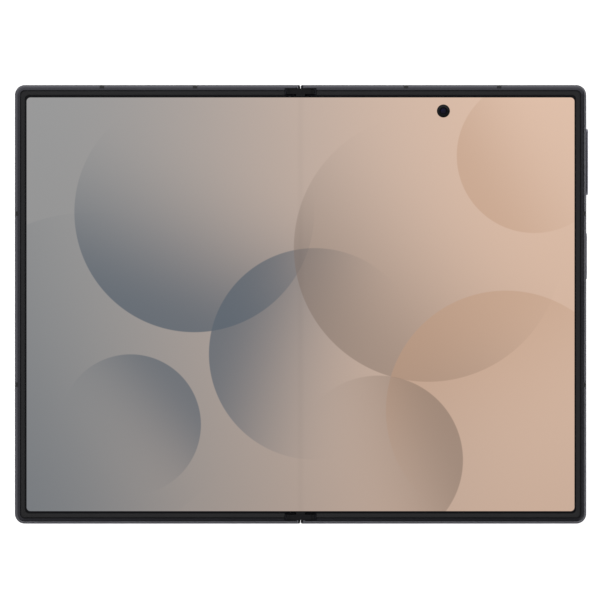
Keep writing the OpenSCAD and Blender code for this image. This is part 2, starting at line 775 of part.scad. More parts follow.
// Outline of a timing gear: straight flanks, with a tooth or a gap on the X axis
module gear_outline(phase) {
    half_tooth = PI * gear_module / 4 - gear_play / 2;
    slope = tan(25);
    flank = [
        [gear_root_r, -half_tooth - slope * (gear_pitch_r - gear_root_r)],
        [gear_tip_r, -half_tooth + slope * (gear_tip_r - gear_pitch_r)],
        [gear_tip_r, half_tooth - slope * (gear_tip_r - gear_pitch_r)],
        [gear_root_r, half_tooth + slope * (gear_pitch_r - gear_root_r)]
    ];
    polygon([
        for (i = [0 : gear_teeth - 1], p = flank)
            let (a = (i + phase) * 360 / gear_teeth)
            [p[0] * cos(a) - p[1] * sin(a), p[0] * sin(a) + p[1] * cos(a)]
    ]);
}

// Toothed wheel of one end, on the right of the fold, at the given X
module gear_at(x, phase) {
    translate([x, 0, axis_z]) along_y(teeth_in_y, gear_out_y) difference() {
        gear_outline(phase);
        circle(r = pin_r + pin_play);
    }
}

// Arm from a half to its outer gear
module timing_arm(phase) {
    gear_at(axis_x, phase);
    difference() {
        union() {
            translate([axis_x, 0, axis_z]) along_y(gear_in_y, teeth_in_y + TINY) circle(r = gear_root_r);
            block([axis_x, gear_in_y, arm_z()], [arm_x(), gear_in_y + arm_t, arm_z() + arm_h]);
        }
        translate([axis_x, 0, axis_z]) along_y(gear_in_y - 1, gear_out_y + 1) circle(r = pin_r + pin_play);
    }
}

module right_timing_arms() color("#b7a56b") lift() both_ends() timing_arm(0.5);
module left_timing_arms() color("#b7a56b") lift() both_ends() left() timing_arm(0);

module idler(x, phase) {
    gear_at(x, phase);
}

module idler_top_right() color("#d0bf82") lift() idler(gear_pitch_r, 0);
module idler_top_left() color("#d0bf82") lift() idler(-gear_pitch_r, 0.5);
module idler_bottom_right() color("#d0bf82") lift() mirror([0, 1, 0]) idler(gear_pitch_r, 0);
module idler_bottom_left() color("#d0bf82") lift() mirror([0, 1, 0]) idler(-gear_pitch_r, 0.5);

// Outline of the hinge cover, seen along Y, up to the given height
module cover_outline(r, top) {
    intersection() {
        union() {
            for (s = [-1, 1]) translate([s * axis_x, axis_z]) circle(r = r);
            translate([-axis_x, axis_z - r]) square([2 * axis_x, 2 * r]);
        }
        translate([-FAR / 2, 0]) square([FAR, top]);
    }
}

module hinge_cover() color("#77777d") lift()
    along_y(-spine_end, spine_end) difference() {
        cover_outline(spine_r, shell_top);
        cover_outline(shell_in_r, FAR);
    }

// Caps that close the ends of the cover and hold the gear pins
module hinge_end_caps() color("#6d6d73") lift() both_ends() {
    along_y(cap_in_y, spine_end) union() {
        cover_outline(shell_in_r - 0.03, axis_z);
        translate([-axis_x - 0.5, axis_z - 0.1]) square([2 * axis_x + 1, 0.55]);
    }
    for (x = [-axis_x, -gear_pitch_r, gear_pitch_r, axis_x])
        translate([x, 0, axis_z]) along_y(gear_in_y, cap_in_y + TINY) circle(r = pin_r);
}

// Blocks in the cover whose curved slots guide the tongues
module hinge_guide_blocks() color("#8d9096") lift()
    for (y = guide_ys)
        difference() {
            along_y(y - block_l / 2, y + block_l / 2) cover_outline(shell_in_r - 0.03, guide_top);
            along_y(y - block_l, y + block_l)
                translate([0, trough_floor + trough_r]) circle(r = trough_r);
            tongue_slot(y);
            rotate([0, 0, 180]) tongue_slot(-y);
            post(0, y, 0.5, 0, half_t);
        }

// Slot for the right-hand tongue of the block at y
module tongue_slot(y) {
    y0 = y + tongue_gap + 1;
    along_y(y0 - 0.1, y0 + tongue_w + 0.1) translate([axis_x, axis_z]) difference() {
        circle(r = shell_in_r + 0.05);
        circle(r = core_r);
    }
}

module hinge_screws() color("#c4c7cc") lift()
    for (y = guide_ys) {
        post(0, y, 0.48, shell_floor, trough_floor - 0.35);
    }

// Fold covers: soft T-shaped pieces that close the bezel over the hinge ends
module fold_bezel_covers() color("#2c2c2f") lift() both_ends() {
    z0 = axis_z + 0.8;
    block([-axis_x - 1.25, teeth_in_y, z0], [axis_x + 1.25, spine_end, half_t - 0.2]);
    block([-axis_x - 2.2, teeth_in_y, z0], [axis_x + 2.2, spine_end, half_t - 0.5]);
    block([0.45 - axis_x, fold_edge_y + 0.02, z0], [axis_x - 0.45, teeth_in_y + TINY, half_t - 0.2]);
    block([-gear_pitch_r - 0.4, cap_in_y, axis_z + 0.45], [gear_pitch_r + 0.4, spine_end, z0 + TINY]);
}

// Two ribbons that carry the signals across the hinge, with slack at rest
module hinge_flex_cables() color("#9a6b2f") lift()
    for (y = flex_ys()) along_y(y - flex_w() / 2, y + flex_w() / 2) flex_outline();

module flex_outline() {
    t = 0.12;
    z1 = tab_z + 0.05;
    low = shell_floor + 0.5;
    upper = [
        [-hinge_wall_x - 1.8, z1], [0.6 - bay_x, z1], [-axis_x, low],
        [axis_x, low], [bay_x - 0.6, z1], [hinge_wall_x + 1.8, z1]
    ];
    polygon(concat([for (p = upper) p + [0, t]], [for (i = [5 : -1 : 0]) upper[i]]));
}

// ---- Drawing -------------------------------------------------------------

right_frame();
right_antenna_breaks();
right_bezel();
right_screen_panel();
right_screen_plate();
right_back_glass();
main_board();
board_shields();
right_battery();
camera_island();
lens_glasses();
camera_modules();
flash_lens();
front_camera();
lower_board();
usb_shell();
usb_tongue();
loudspeaker();
vibration_motor();
charging_coil();
key_switches();
right_hinge_brackets();
right_timing_arms();
right_bracket_screws();
right_magnets();
volume_key();
power_key();
left_frame();
left_antenna_breaks();
left_bezel();
left_screen_panel();
left_screen_plate();
cover_glass();
cover_screen();
cover_camera();
left_battery();
left_board();
earpiece();
left_hinge_brackets();
left_timing_arms();
left_bracket_screws();
left_magnets();
card_reader();
card_tray();
card();
hinge_cover();
hinge_end_caps();
hinge_guide_blocks();
hinge_screws();
fold_bezel_covers();
fold_screen_strip();
fold_lattice();
hinge_flex_cables();
idler_top_right();
idler_top_left();
idler_bottom_right();
idler_bottom_left();
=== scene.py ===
"""Looks of a folding phone that lies open on its back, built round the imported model.

Every length is in metres, in the model's own frame: X across the open screen, Y up the fold, Z out of
the screen. Sizes are written in millimetres and turned by MM.
"""

import json
import logging
import math
from dataclasses import dataclass, field
from enum import Enum
from typing import Optional, Sequence, Union

import bmesh
import bpy
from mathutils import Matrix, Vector

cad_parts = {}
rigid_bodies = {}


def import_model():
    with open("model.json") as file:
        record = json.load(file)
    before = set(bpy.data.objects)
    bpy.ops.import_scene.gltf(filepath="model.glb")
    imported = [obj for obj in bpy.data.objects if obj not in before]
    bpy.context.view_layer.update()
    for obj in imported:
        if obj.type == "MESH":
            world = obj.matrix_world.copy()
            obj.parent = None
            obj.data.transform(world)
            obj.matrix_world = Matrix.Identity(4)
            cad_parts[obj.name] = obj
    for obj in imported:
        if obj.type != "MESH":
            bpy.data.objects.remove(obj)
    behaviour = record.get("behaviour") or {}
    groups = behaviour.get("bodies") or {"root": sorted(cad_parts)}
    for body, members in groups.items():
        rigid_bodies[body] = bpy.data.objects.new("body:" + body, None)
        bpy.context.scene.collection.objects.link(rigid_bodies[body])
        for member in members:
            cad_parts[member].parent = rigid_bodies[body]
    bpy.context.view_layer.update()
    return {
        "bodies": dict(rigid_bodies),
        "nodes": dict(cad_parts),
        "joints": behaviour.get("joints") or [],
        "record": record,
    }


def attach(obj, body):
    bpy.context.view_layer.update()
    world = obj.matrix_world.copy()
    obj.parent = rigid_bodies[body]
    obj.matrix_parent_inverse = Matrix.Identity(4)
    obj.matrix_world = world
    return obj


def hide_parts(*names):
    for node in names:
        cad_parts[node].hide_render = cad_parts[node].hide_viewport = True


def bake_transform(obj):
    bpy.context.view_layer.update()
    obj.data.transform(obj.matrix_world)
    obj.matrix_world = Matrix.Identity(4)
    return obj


LOG = logging.getLogger("phone")
MM = 0.001
HALVES = ("right", "left")
Point = tuple[float, float]


# ---- Small helpers -------------------------------------------------------


def linear(hex_colour: str) -> tuple[float, float, float, float]:
    """Turns an sRGB hex colour to Blender's linear values.

    Args:
        hex_colour: Six hex digits after a #.

    Returns:
        Linear red, green and blue, and an alpha of 1.
    """
    parts = [int(hex_colour[i : i + 2], 16) / 255 for i in (1, 3, 5)]
    turned = [c / 12.92 if c <= 0.04045 else ((c + 0.055) / 1.055) ** 2.4 for c in parts]
    return (turned[0], turned[1], turned[2], 1.0)


def add_node(
    tree: bpy.types.NodeTree,
    kind: str,
    inputs: Optional[dict] = None,
    **settings: object,
) -> bpy.types.Node:
    """Adds one node, with its settings, values and links.

    Args:
        tree: The node tree that takes it.
        kind: Blender's name of the node type.
        inputs: Socket name or number to a value, or to an output socket to link.
        **settings: Attributes of the node.

    Returns:
        The new node.
    """
    made = tree.nodes.new(kind)
    for name, value in settings.items():
        setattr(made, name, value)
    for socket, value in (inputs or {}).items():
        if isinstance(value, bpy.types.NodeSocket):
            tree.links.new(value, made.inputs[socket])
        else:
            made.inputs[socket].default_value = value
    return made


def new_material(name: str) -> tuple[bpy.types.Material, bpy.types.NodeTree]:
    """Makes an empty node material.

    Args:
        name: The material's name.

    Returns:
        The material and its cleared node tree.
    """
    material = bpy.data.materials.new(name)
    material.use_nodes = True
    material.node_tree.nodes.clear()
    return material, material.node_tree


def make_mesh(name: str, points: Sequence, faces: Sequence, smooth_deg: float = 35.0) -> bpy.types.Object:
    """Makes a mesh object with clean outward faces, smooth below an angle.

    Args:
        name: The piece's name.
        points: Corners, in metres.
        faces: Tuples of corner numbers.
        smooth_deg: Edges sharper than this stay sharp.

    Returns:
        The new object, linked to the scene.
    """
    work = bmesh.new()
    corners_made = [work.verts.new(tuple(p)) for p in points]
    for face in faces:
        work.faces.new([corners_made[i] for i in face])
    return finish_mesh(name, work, smooth_deg)


def finish_mesh(name: str, work: bmesh.types.BMesh, smooth_deg: float = 35.0) -> bpy.types.Object:
    """Turns an edited mesh into an object with outward faces, smooth below an angle.

    Args:
        name: The piece's name.
        work: The edited mesh, which is freed.
        smooth_deg: Edges sharper than this stay sharp.

    Returns:
        The new object, linked to the scene.
    """
    mesh = bpy.data.meshes.new(name)
    bmesh.ops.recalc_face_normals(work, faces=work.faces)
    for edge in work.edges:
        if len(edge.link_faces) == 2 and edge.calc_face_angle(0.0) > math.radians(smooth_deg):
            edge.smooth = False
    for face in work.faces:
        face.smooth = True
    work.to_mesh(mesh)
    work.free()
    made = bpy.data.objects.new(name, mesh)
    bpy.context.scene.collection.objects.link(made)
    return made


def loft(name: str, rings: Sequence[Sequence], closed: bool = True, capped: bool = True) -> bpy.types.Object:
    """Joins rings of equal length with quads.

    Args:
        name: The piece's name.
        rings: Lists of points, in metres.
        closed: Whether each ring's last point joins its first.
        capped: Whether the first and the last ring are filled.

    Returns:
        The lofted piece.
    """
    count = len(rings[0])
    points = [p for ring in rings for p in ring]
    faces = []
    span = count if closed else count - 1
    for i in range(len(rings) - 1):
        for j in range(span):
            k = (j + 1) % count
            faces.append((i * count + j, i * count + k, (i + 1) * count + k, (i + 1) * count + j))
    if capped:
        faces.append(tuple(range(count)))
        faces.append(tuple((len(rings) - 1) * count + j for j in range(count)))
    return make_mesh(name, points, faces)


def pierced(name: str, rings: Sequence[Sequence], holes: Sequence[Sequence[Point]]) -> bpy.types.Object:
    """Joins outer rings into a solid with upright holes through its two flat ends.

    Args:
        name: The piece's name.
        rings: Outer rings of equal length from one end to the other, in metres.
        holes: Outlines of the holes in X and Y, in metres.

    Returns:
        The pierced piece.
    """
    work = bmesh.new()
    ends = (rings[0][0][2], rings[-1][0][2])
    shells = [[[work.verts.new(p) for p in ring] for ring in rings]]
    shells += [[[work.verts.new((x, y, z)) for x, y in hole] for z in ends] for hole in holes]
    for shell in shells:
        for low, high in zip(shell, shell[1:]):
            for i in range(len(low)):
                k = (i + 1) % len(low)
                work.faces.new((low[i], low[k], high[k], high[i]))
    for end in (0, -1):
        rims = []
        for shell in shells:
            ring = shell[end]
            rims += [work.edges.get((ring[i - 1], ring[i])) for i in range(len(ring))]
        bmesh.ops.triangle_fill(work, use_beauty=True, edges=rims)
    return finish_mesh(name, work)


def lathe(name: str, profile: Sequence[Point], centre: Vector, steps: int = 64) -> bpy.types.Object:
    """Turns a closed profile about an upright axis.

    Args:
        name: The piece's name.
        profile: Radius and height pairs in millimetres, from the axis out and back.
        centre: The axis's foot, in metres.
        steps: Sides of the turned form.

    Returns:
        The turned piece.
    """
    rings = []
    for radius, height in profile:
        angles = [2 * math.pi * i / steps for i in range(steps)]
        rings.append(
            [
                (
                    centre.x + radius * MM * math.cos(a),
                    centre.y + radius * MM * math.sin(a),
                    centre.z + height * MM,
                )
                for a in angles
            ]
        )
    return loft(name, rings)


def past_corner(
    tree: bpy.types.NodeTree, parts: Sequence[bpy.types.NodeSocket], inner_half: Sequence[float]
) -> bpy.types.NodeSocket:
    """Distance from the rectangle through the corner centres of a round-cornered outline.

    Args:
        tree: The material's tree.
        parts: Sockets of X and Y.
        inner_half: Half width and half height of that rectangle.

    Returns:
        Socket of the distance, 0 inside the rectangle.
    """
    beyond = []
    for axis, half in zip(("X", "Y"), inner_half):
        size = add_node(tree, "ShaderNodeMath", {0: parts[axis]}, operation="ABSOLUTE").outputs[0]
        past = add_node(tree, "ShaderNodeMath", {0: size, 1: half}, operation="SUBTRACT").outputs[0]
        beyond.append(add_node(tree, "ShaderNodeMath", {0: past, 1: 0.0}, operation="MAXIMUM").outputs[0])
    corner = add_node(tree, "ShaderNodeCombineXYZ", {"X": beyond[0], "Y": beyond[1]}).outputs[0]
    return add_node(tree, "ShaderNodeVectorMath", {0: corner}, operation="LENGTH").outputs["Value"]


def seen_or_mirrored(tree: bpy.types.NodeTree) -> bpy.types.NodeSocket:
    """Picks out the rays of the camera, of mirrors and of clear glass.

    Args:
        tree: The material's or the world's tree.

    Returns:
        Socket that is 1 for those rays and 0 for the light on the phone.
    """
    seen = add_node(tree, "ShaderNodeLightPath").outputs
    direct = seen["Is Camera Ray"]
    for kind in ("Is Glossy Ray", "Is Transmission Ray"):
        direct = add_node(tree, "ShaderNodeMath", {0: direct, 1: seen[kind]}, operation="MAXIMUM").outputs[0]
    return direct


def stadium_ring(length: float, width: float, steps: int = 12) -> list[Point]:
    """Outline of a stadium that is long along its first axis.

    Args:
        length: Overall length.
        width: Overall width.
        steps: Sides of each half-round end.

    Returns:
        Points round the outline, in the unit of the sizes.
    """
    half = (length - width) / 2
    ring = []
    for side in (1, -1):
        for i in range(steps + 1):
            angle = math.radians(-90 + 180 * i / steps)
            ring.append((side * (half + width / 2 * math.cos(angle)), side * width / 2 * math.sin(angle)))
    return ring


# ---- Finishes ------------------------------------------------------------

# Size of the slow drift between a finish's two colours, in millimetres.
DRIFT_MM = 14.0
# Heights above the table over which the plain shine of the side walls gives way to a painted shade: above
# them the mirror part at a grazing look is dimmed, which so darkens the rounded rim round the screen, in
# millimetres.
PAINTED_EDGE_SHADE_MM = (5.2, 5.9)


class Grain(Enum):
    """How a surface was made, as far as it shows in its texture."""

    BLASTED = "fine bead-blasted pits"
    BRUSHED = "fine lines along the fold"
    MOULDED = "faint mould texture"
    POLISHED = "smooth, with faint smears"


@dataclass(frozen=True)
class Crown:
    """Gentle roll of a band's top toward the outer edge of the body.

    Attributes:
        half_size: Half width and half height of the body in millimetres.
        corner: Corner radius in millimetres.
        inner: Distance from the edge where the roll starts, in millimetres.
        outer: Distance from the edge where it runs out, in millimetres.
        drop: Depth of the roll in millimetres.
    """

    half_size: Point = (80.7, 61.95)
    corner: float = 2.8
    inner: float = 1.5
    outer: float = 0.35
    drop: float = 0.1

    def over(
        self, tree: bpy.types.NodeTree, place: bpy.types.NodeSocket, normal: bpy.types.NodeSocket
    ) -> bpy.types.NodeSocket:
        """Bends a normal by the roll.

        Args:
            tree: The material's tree.
            place: Socket of the place in metres.
            normal: Socket of the normal before.

        Returns:
            Socket of the normal after.
        """
        parts = add_node(tree, "ShaderNodeSeparateXYZ", {0: place}).outputs
        reach = past_corner(tree, parts, [(half - self.corner) * MM for half in self.half_size])
        height = add_node(
            tree,
            "ShaderNodeMapRange",
            {
                0: reach,
                1: (self.corner - self.inner) * MM,
                2: (self.corner - self.outer) * MM,
                3: 1.0,
                4: 0.0,
            },
            interpolation_type="SMOOTHSTEP",
        ).outputs[0]
        return add_node(
            tree,
            "ShaderNodeBump",
            {"Height": height, "Strength": 1.0, "Distance": self.drop * MM, "Normal": normal},
        ).outputs[0]


@dataclass(frozen=True)
class Finish:
    """One surface finish, built as a node material.

    Attributes:
        name: Name in a maker's words.
        colour: Main sRGB colour.
        tint: Second sRGB colour, which drifts slowly into the first.
        metallic: 1 for bare metal, 0 for the rest.
        roughness: Middle roughness.
        grain: How the surface was made.
        grain_mm: Size of one grain in millimetres.
        bump_mm: Depth of the grain in millimetres.
        ior: Index of refraction, or None to keep the default on a metal.
        coat: Strength of a clear coat.
        spread: How far the roughness varies.
        film_nm: Thickness of an anti-reflection film in nanometres.
        specular: Strength of the mirror part of a plastic; 0.5 is plain.
        crown: Roll of the band's top, or None.
        edge: Strength of the mirror part at a grazing look above the rim heights; below 1 it is a painted
            shade on the rounded rim, and 1 is plain.
    """

    name: str
    colour: str
    tint: str
    metallic: float
    roughness: float
    grain: Grain
    grain_mm: float
    bump_mm: float
    ior: Optional[float] = None
    coat: float = 0.0
    spread: float = 0.06
    film_nm: float = 0.0
    specular: float = 0.5
    crown: Optional[Crown] = None
    edge: float = 1.0

    def build(self) -> bpy.types.Material:
        """Builds the node material.

        Returns:
            The finished material.
        """
        material, tree = new_material(self.name)
        place = add_node(tree, "ShaderNodeTexCoord").outputs["Object"]
        stretch = (1.0, 0.02, 1.0) if self.grain is Grain.BRUSHED else (1.0, 1.0, 1.0)
        mapped = add_node(tree, "ShaderNodeMapping", {"Vector": place, "Scale": stretch}).outputs[0]
        fine = add_node(
            tree,
            "ShaderNodeTexNoise",
            {"Vector": mapped, "Scale": 1 / (self.grain_mm * MM), "Detail": 3.0, "Roughness": 0.6},
        ).outputs[0]
        drift = add_node(
            tree, "ShaderNodeTexNoise", {"Vector": place, "Scale": 1 / (DRIFT_MM * MM), "Detail": 2.0}
        ).outputs[0]
        colour = add_node(
            tree,
            "ShaderNodeMix",
            {0: drift, 6: linear(self.colour), 7: linear(self.tint)},
            data_type="RGBA",
        ).outputs[2]
        smear = drift if self.grain is Grain.POLISHED else fine
        rough = add_node(
            tree,
            "ShaderNodeMapRange",
            {0: smear, 1: 0.3, 2: 0.7, 3: self.roughness - self.spread, 4: self.roughness + self.spread},
        ).outputs[0]
        bump = add_node(
            tree,
            "ShaderNodeBump",
            {"Height": fine, "Strength": 0.6, "Distance": self.bump_mm * MM},
        ).outputs[0]
        if self.crown is not None:
            bump = self.crown.over(tree, place, bump)
        # Painted shade: above the rim heights the mirror part at a grazing look is dimmed to the finish's
        # edge value.
        height = add_node(tree, "ShaderNodeSeparateXYZ", {0: place}).outputs["Z"]
        tint = add_node(
            tree,
            "ShaderNodeMapRange",
            {0: height, 1: PAINTED_EDGE_SHADE_MM[0] * MM, 2: PAINTED_EDGE_SHADE_MM[1] * MM, 3: 1.0, 4: self.edge},
        ).outputs[0]
        inputs = {
            "Base Color": colour,
            "Metallic": self.metallic,
            "Roughness": rough,
            "Normal": bump,
            "Coat Weight": self.coat,
            "Coat Roughness": 0.08,
            "Thin Film Thickness": self.film_nm,
            "Specular IOR Level": self.specular,
            "Specular Tint": tint,
        }
        if self.ior is not None:
            inputs["IOR"] = self.ior
        shader = add_node(tree, "ShaderNodeBsdfPrincipled", inputs)
        add_node(tree, "ShaderNodeOutputMaterial", {"Surface": shader.outputs[0]})
        return material


# Aluminium, bead-blasted and anodised dark: satin, with a faint violet cast. On the rounded rim above the
# side walls its shine at a grazing look is cut to a fifth, which is painted shade.
ANODISED_BAND = Finish(
    "anodised_aluminium_band", "#555559", "#5a5a5f",
    metallic=1.0, roughness=0.22, grain=Grain.BLASTED, grain_mm=0.12, bump_mm=0.004, crown=Crown(),
    edge=0.2,
)
# The same metal on the keys, blasted a little coarser, and painted paler than the band as a painted
# highlight, so that the standing keys look brighter.
KEY_METAL_PAINTED_PALER = Finish(
    "anodised_aluminium_key", "#72727a", "#787880",
    metallic=1.0, roughness=0.28, grain=Grain.BLASTED, grain_mm=0.12, bump_mm=0.003,
)
# The hinge cover is polished before it is anodised, so it mirrors softly.
POLISHED_SPINE = Finish(
    "polished_hinge_cover", "#56565c", "#5d5d63",
    metallic=1.0, roughness=0.2, grain=Grain.BRUSHED, grain_mm=0.25, bump_mm=0.002,
)
# Milled camera island, satin.
MILLED_ISLAND = Finish(
    "milled_island", "#46464b", "#4d4d52",
    metallic=1.0, roughness=0.3, grain=Grain.BLASTED, grain_mm=0.12, bump_mm=0.003,
)
# Bright turned edge of each lens ring.
TURNED_RING = Finish(
    "turned_lens_ring", "#5a5a60", "#66666c",
    metallic=1.0, roughness=0.16, grain=Grain.POLISHED, grain_mm=0.3, bump_mm=0.001,
)
# PBT plastic in the aerial breaks: matt, a shade darker than the metal.
AERIAL_PLASTIC = Finish(
    "pbt_aerial_break", "#19191b", "#1c1c1f",
    metallic=0.0, roughness=0.5, grain=Grain.MOULDED, grain_mm=0.2, bump_mm=0.004, ior=1.55,
    specular=0.25,
)
# Thermoplastic elastomer of the bezel: soft black that scatters a little light.
BEZEL_TPE = Finish(
    "tpe_bezel", "#151517", "#18181a",
    metallic=0.0, roughness=0.66, grain=Grain.MOULDED, grain_mm=0.15, bump_mm=0.004, ior=1.5,
    specular=0.22,
)
# Harder moulded plastic of the covers over the hinge ends.
HINGE_PLASTIC = Finish(
    "moulded_hinge_cover", "#0f0f11", "#121214",
    metallic=0.0, roughness=0.5, grain=Grain.MOULDED, grain_mm=0.15, bump_mm=0.004, ior=1.5,
    specular=0.12,
)
# Etched glass of the back: satin, with the colour behind it.
ETCHED_BACK = Finish(
    "etched_back_glass", "#36373c", "#3c3d42",
    metallic=0.0, roughness=0.36, grain=Grain.BLASTED, grain_mm=0.1, bump_mm=0.0015, ior=1.52,
)
# Polished cover glass over an unlit screen: deep black that mirrors the room.
POLISHED_COVER = Finish(
    "polished_cover_glass", "#08090b", "#0b0c0f",
    metallic=0.0, roughness=0.06, grain=Grain.POLISHED, grain_mm=0.6, bump_mm=0.0002, ior=1.52,
    spread=0.03,
)
# Sapphire over a camera: dark with a coated sheen.
COATED_LENS = Finish(
    "coated_lens_glass", "#0a0c14", "#12162b",
    metallic=0.0, roughness=0.04, grain=Grain.POLISHED, grain_mm=0.6, bump_mm=0.0002, ior=1.76,
    spread=0.02, film_nm=430.0,
)
# Coating of the small front camera, thinner, so that it mirrors violet.
FRONT_LENS = Finish(
    "front_lens_glass", "#17161d", "#1f1e28",
    metallic=0.0, roughness=0.04, grain=Grain.POLISHED, grain_mm=0.6, bump_mm=0.0002, ior=1.76,
    film_nm=112.0,
)
# Black anodised lens barrels.
BLACK_BARREL = Finish(
    "black_lens_barrel", "#0d0d0f", "#121214",
    metallic=0.0, roughness=0.35, grain=Grain.MOULDED, grain_mm=0.15, bump_mm=0.003, ior=1.5,
)
# Frosted diffuser over the flash, warm from the phosphor behind it.
FROSTED_FLASH = Finish(
    "frosted_flash", "#e6ddbd", "#d9cda6",
    metallic=0.0, roughness=0.3, grain=Grain.MOULDED, grain_mm=0.3, bump_mm=0.02, ior=1.5, coat=0.5,
)
# Solder mask over fibre board.
SOLDER_MASK = Finish(
    "solder_mask", "#173c2a", "#1c4632",
    metallic=0.0, roughness=0.38, grain=Grain.MOULDED, grain_mm=0.4, bump_mm=0.01, ior=1.5,
)
# Tin-plated steel of the cans and the socket.
TINNED_STEEL = Finish(
    "tinned_steel", "#a9abaf", "#9b9ea3",
    metallic=1.0, roughness=0.32, grain=Grain.BRUSHED, grain_mm=0.2, bump_mm=0.002,
)
# Machined steel of the hinge, with fine tool lines.
MACHINED_STEEL = Finish(
    "machined_steel", "#8f9196", "#83868c",
    metallic=1.0, roughness=0.3, grain=Grain.BRUSHED, grain_mm=0.15, bump_mm=0.003,
)
# Laminated foil round a battery pouch.
POUCH_FOIL = Finish(
    "pouch_foil", "#2b2c30", "#323338",
    metallic=0.0, roughness=0.42, grain=Grain.MOULDED, grain_mm=0.8, bump_mm=0.02, ior=1.5,
)
# Enamelled copper of the coil.
ENAMELLED_COPPER = Finish(
    "enamelled_copper", "#b0643a", "#a05630",
    metallic=1.0, roughness=0.3, grain=Grain.BRUSHED, grain_mm=0.2, bump_mm=0.003,
)
# Polyimide film of the flex cables.
POLYIMIDE = Finish(
    "polyimide_film", "#a8701c", "#8f5c14",
    metallic=0.0, roughness=0.3, grain=Grain.MOULDED, grain_mm=0.5, bump_mm=0.004, ior=1.7,
)
# Sintered steel gears, nitrided black so that they don't catch the eye beside the screen.
NITRIDED_GEAR = Finish(
    "nitrided_gear", "#232326", "#2a2a2d",
    metallic=1.0, roughness=0.42, grain=Grain.BLASTED, grain_mm=0.05, bump_mm=0.002,
)
# Nickel-plated magnets.
NICKEL_PLATE = Finish(
    "nickel_plate", "#9a9a94", "#8f8f8a",
    metallic=1.0, roughness=0.22, grain=Grain.POLISHED, grain_mm=0.4, bump_mm=0.001,
)
# Moulded black plastic of modules and tongues.
MODULE_PLASTIC = Finish(
    "module_plastic", "#151618", "#1a1b1e",
    metallic=0.0, roughness=0.45, grain=Grain.MOULDED, grain_mm=0.25, bump_mm=0.006, ior=1.5,
)
# Gold flash on the card's contacts.
CARD_GOLD = Finish(
    "card_contacts", "#c59c44", "#b88e38",
    metallic=1.0, roughness=0.3, grain=Grain.BRUSHED, grain_mm=0.3, bump_mm=0.002,
)
# Woven wire behind the sound holes.
SOUND_MESH = Finish(
    "sound_mesh", "#26262a", "#303035",
    metallic=1.0, roughness=0.5, grain=Grain.BLASTED, grain_mm=0.2, bump_mm=0.05,
)


# ---- Wallpaper -----------------------------------------------------------

# Metres of screen to one unit of the bending strip's UVs.
SCREEN_UV = 0.2
# Brightness of the lit screen, just under the white of the floor.
SCREEN_GLOW = 0.98
# The three tones of the discs: a blue grey, a brown grey and a light brown.
SLATE = "#5a646e"
TAUPE = "#806e62"
CLAY = "#c09a7e"


@dataclass(frozen=True)
class Disc:
    """One translucent disc of the wallpaper.

    Attributes:
        centre: Centre in millimetres from the middle of the screen.
        radius: Radius in millimetres.
        toward_deg: Direction of its darker side.
        shade: sRGB colour of that side.
        strength: Opacity there.
    """

    centre: Point
    radius: float
    toward_deg: float
    shade: str
    strength: float


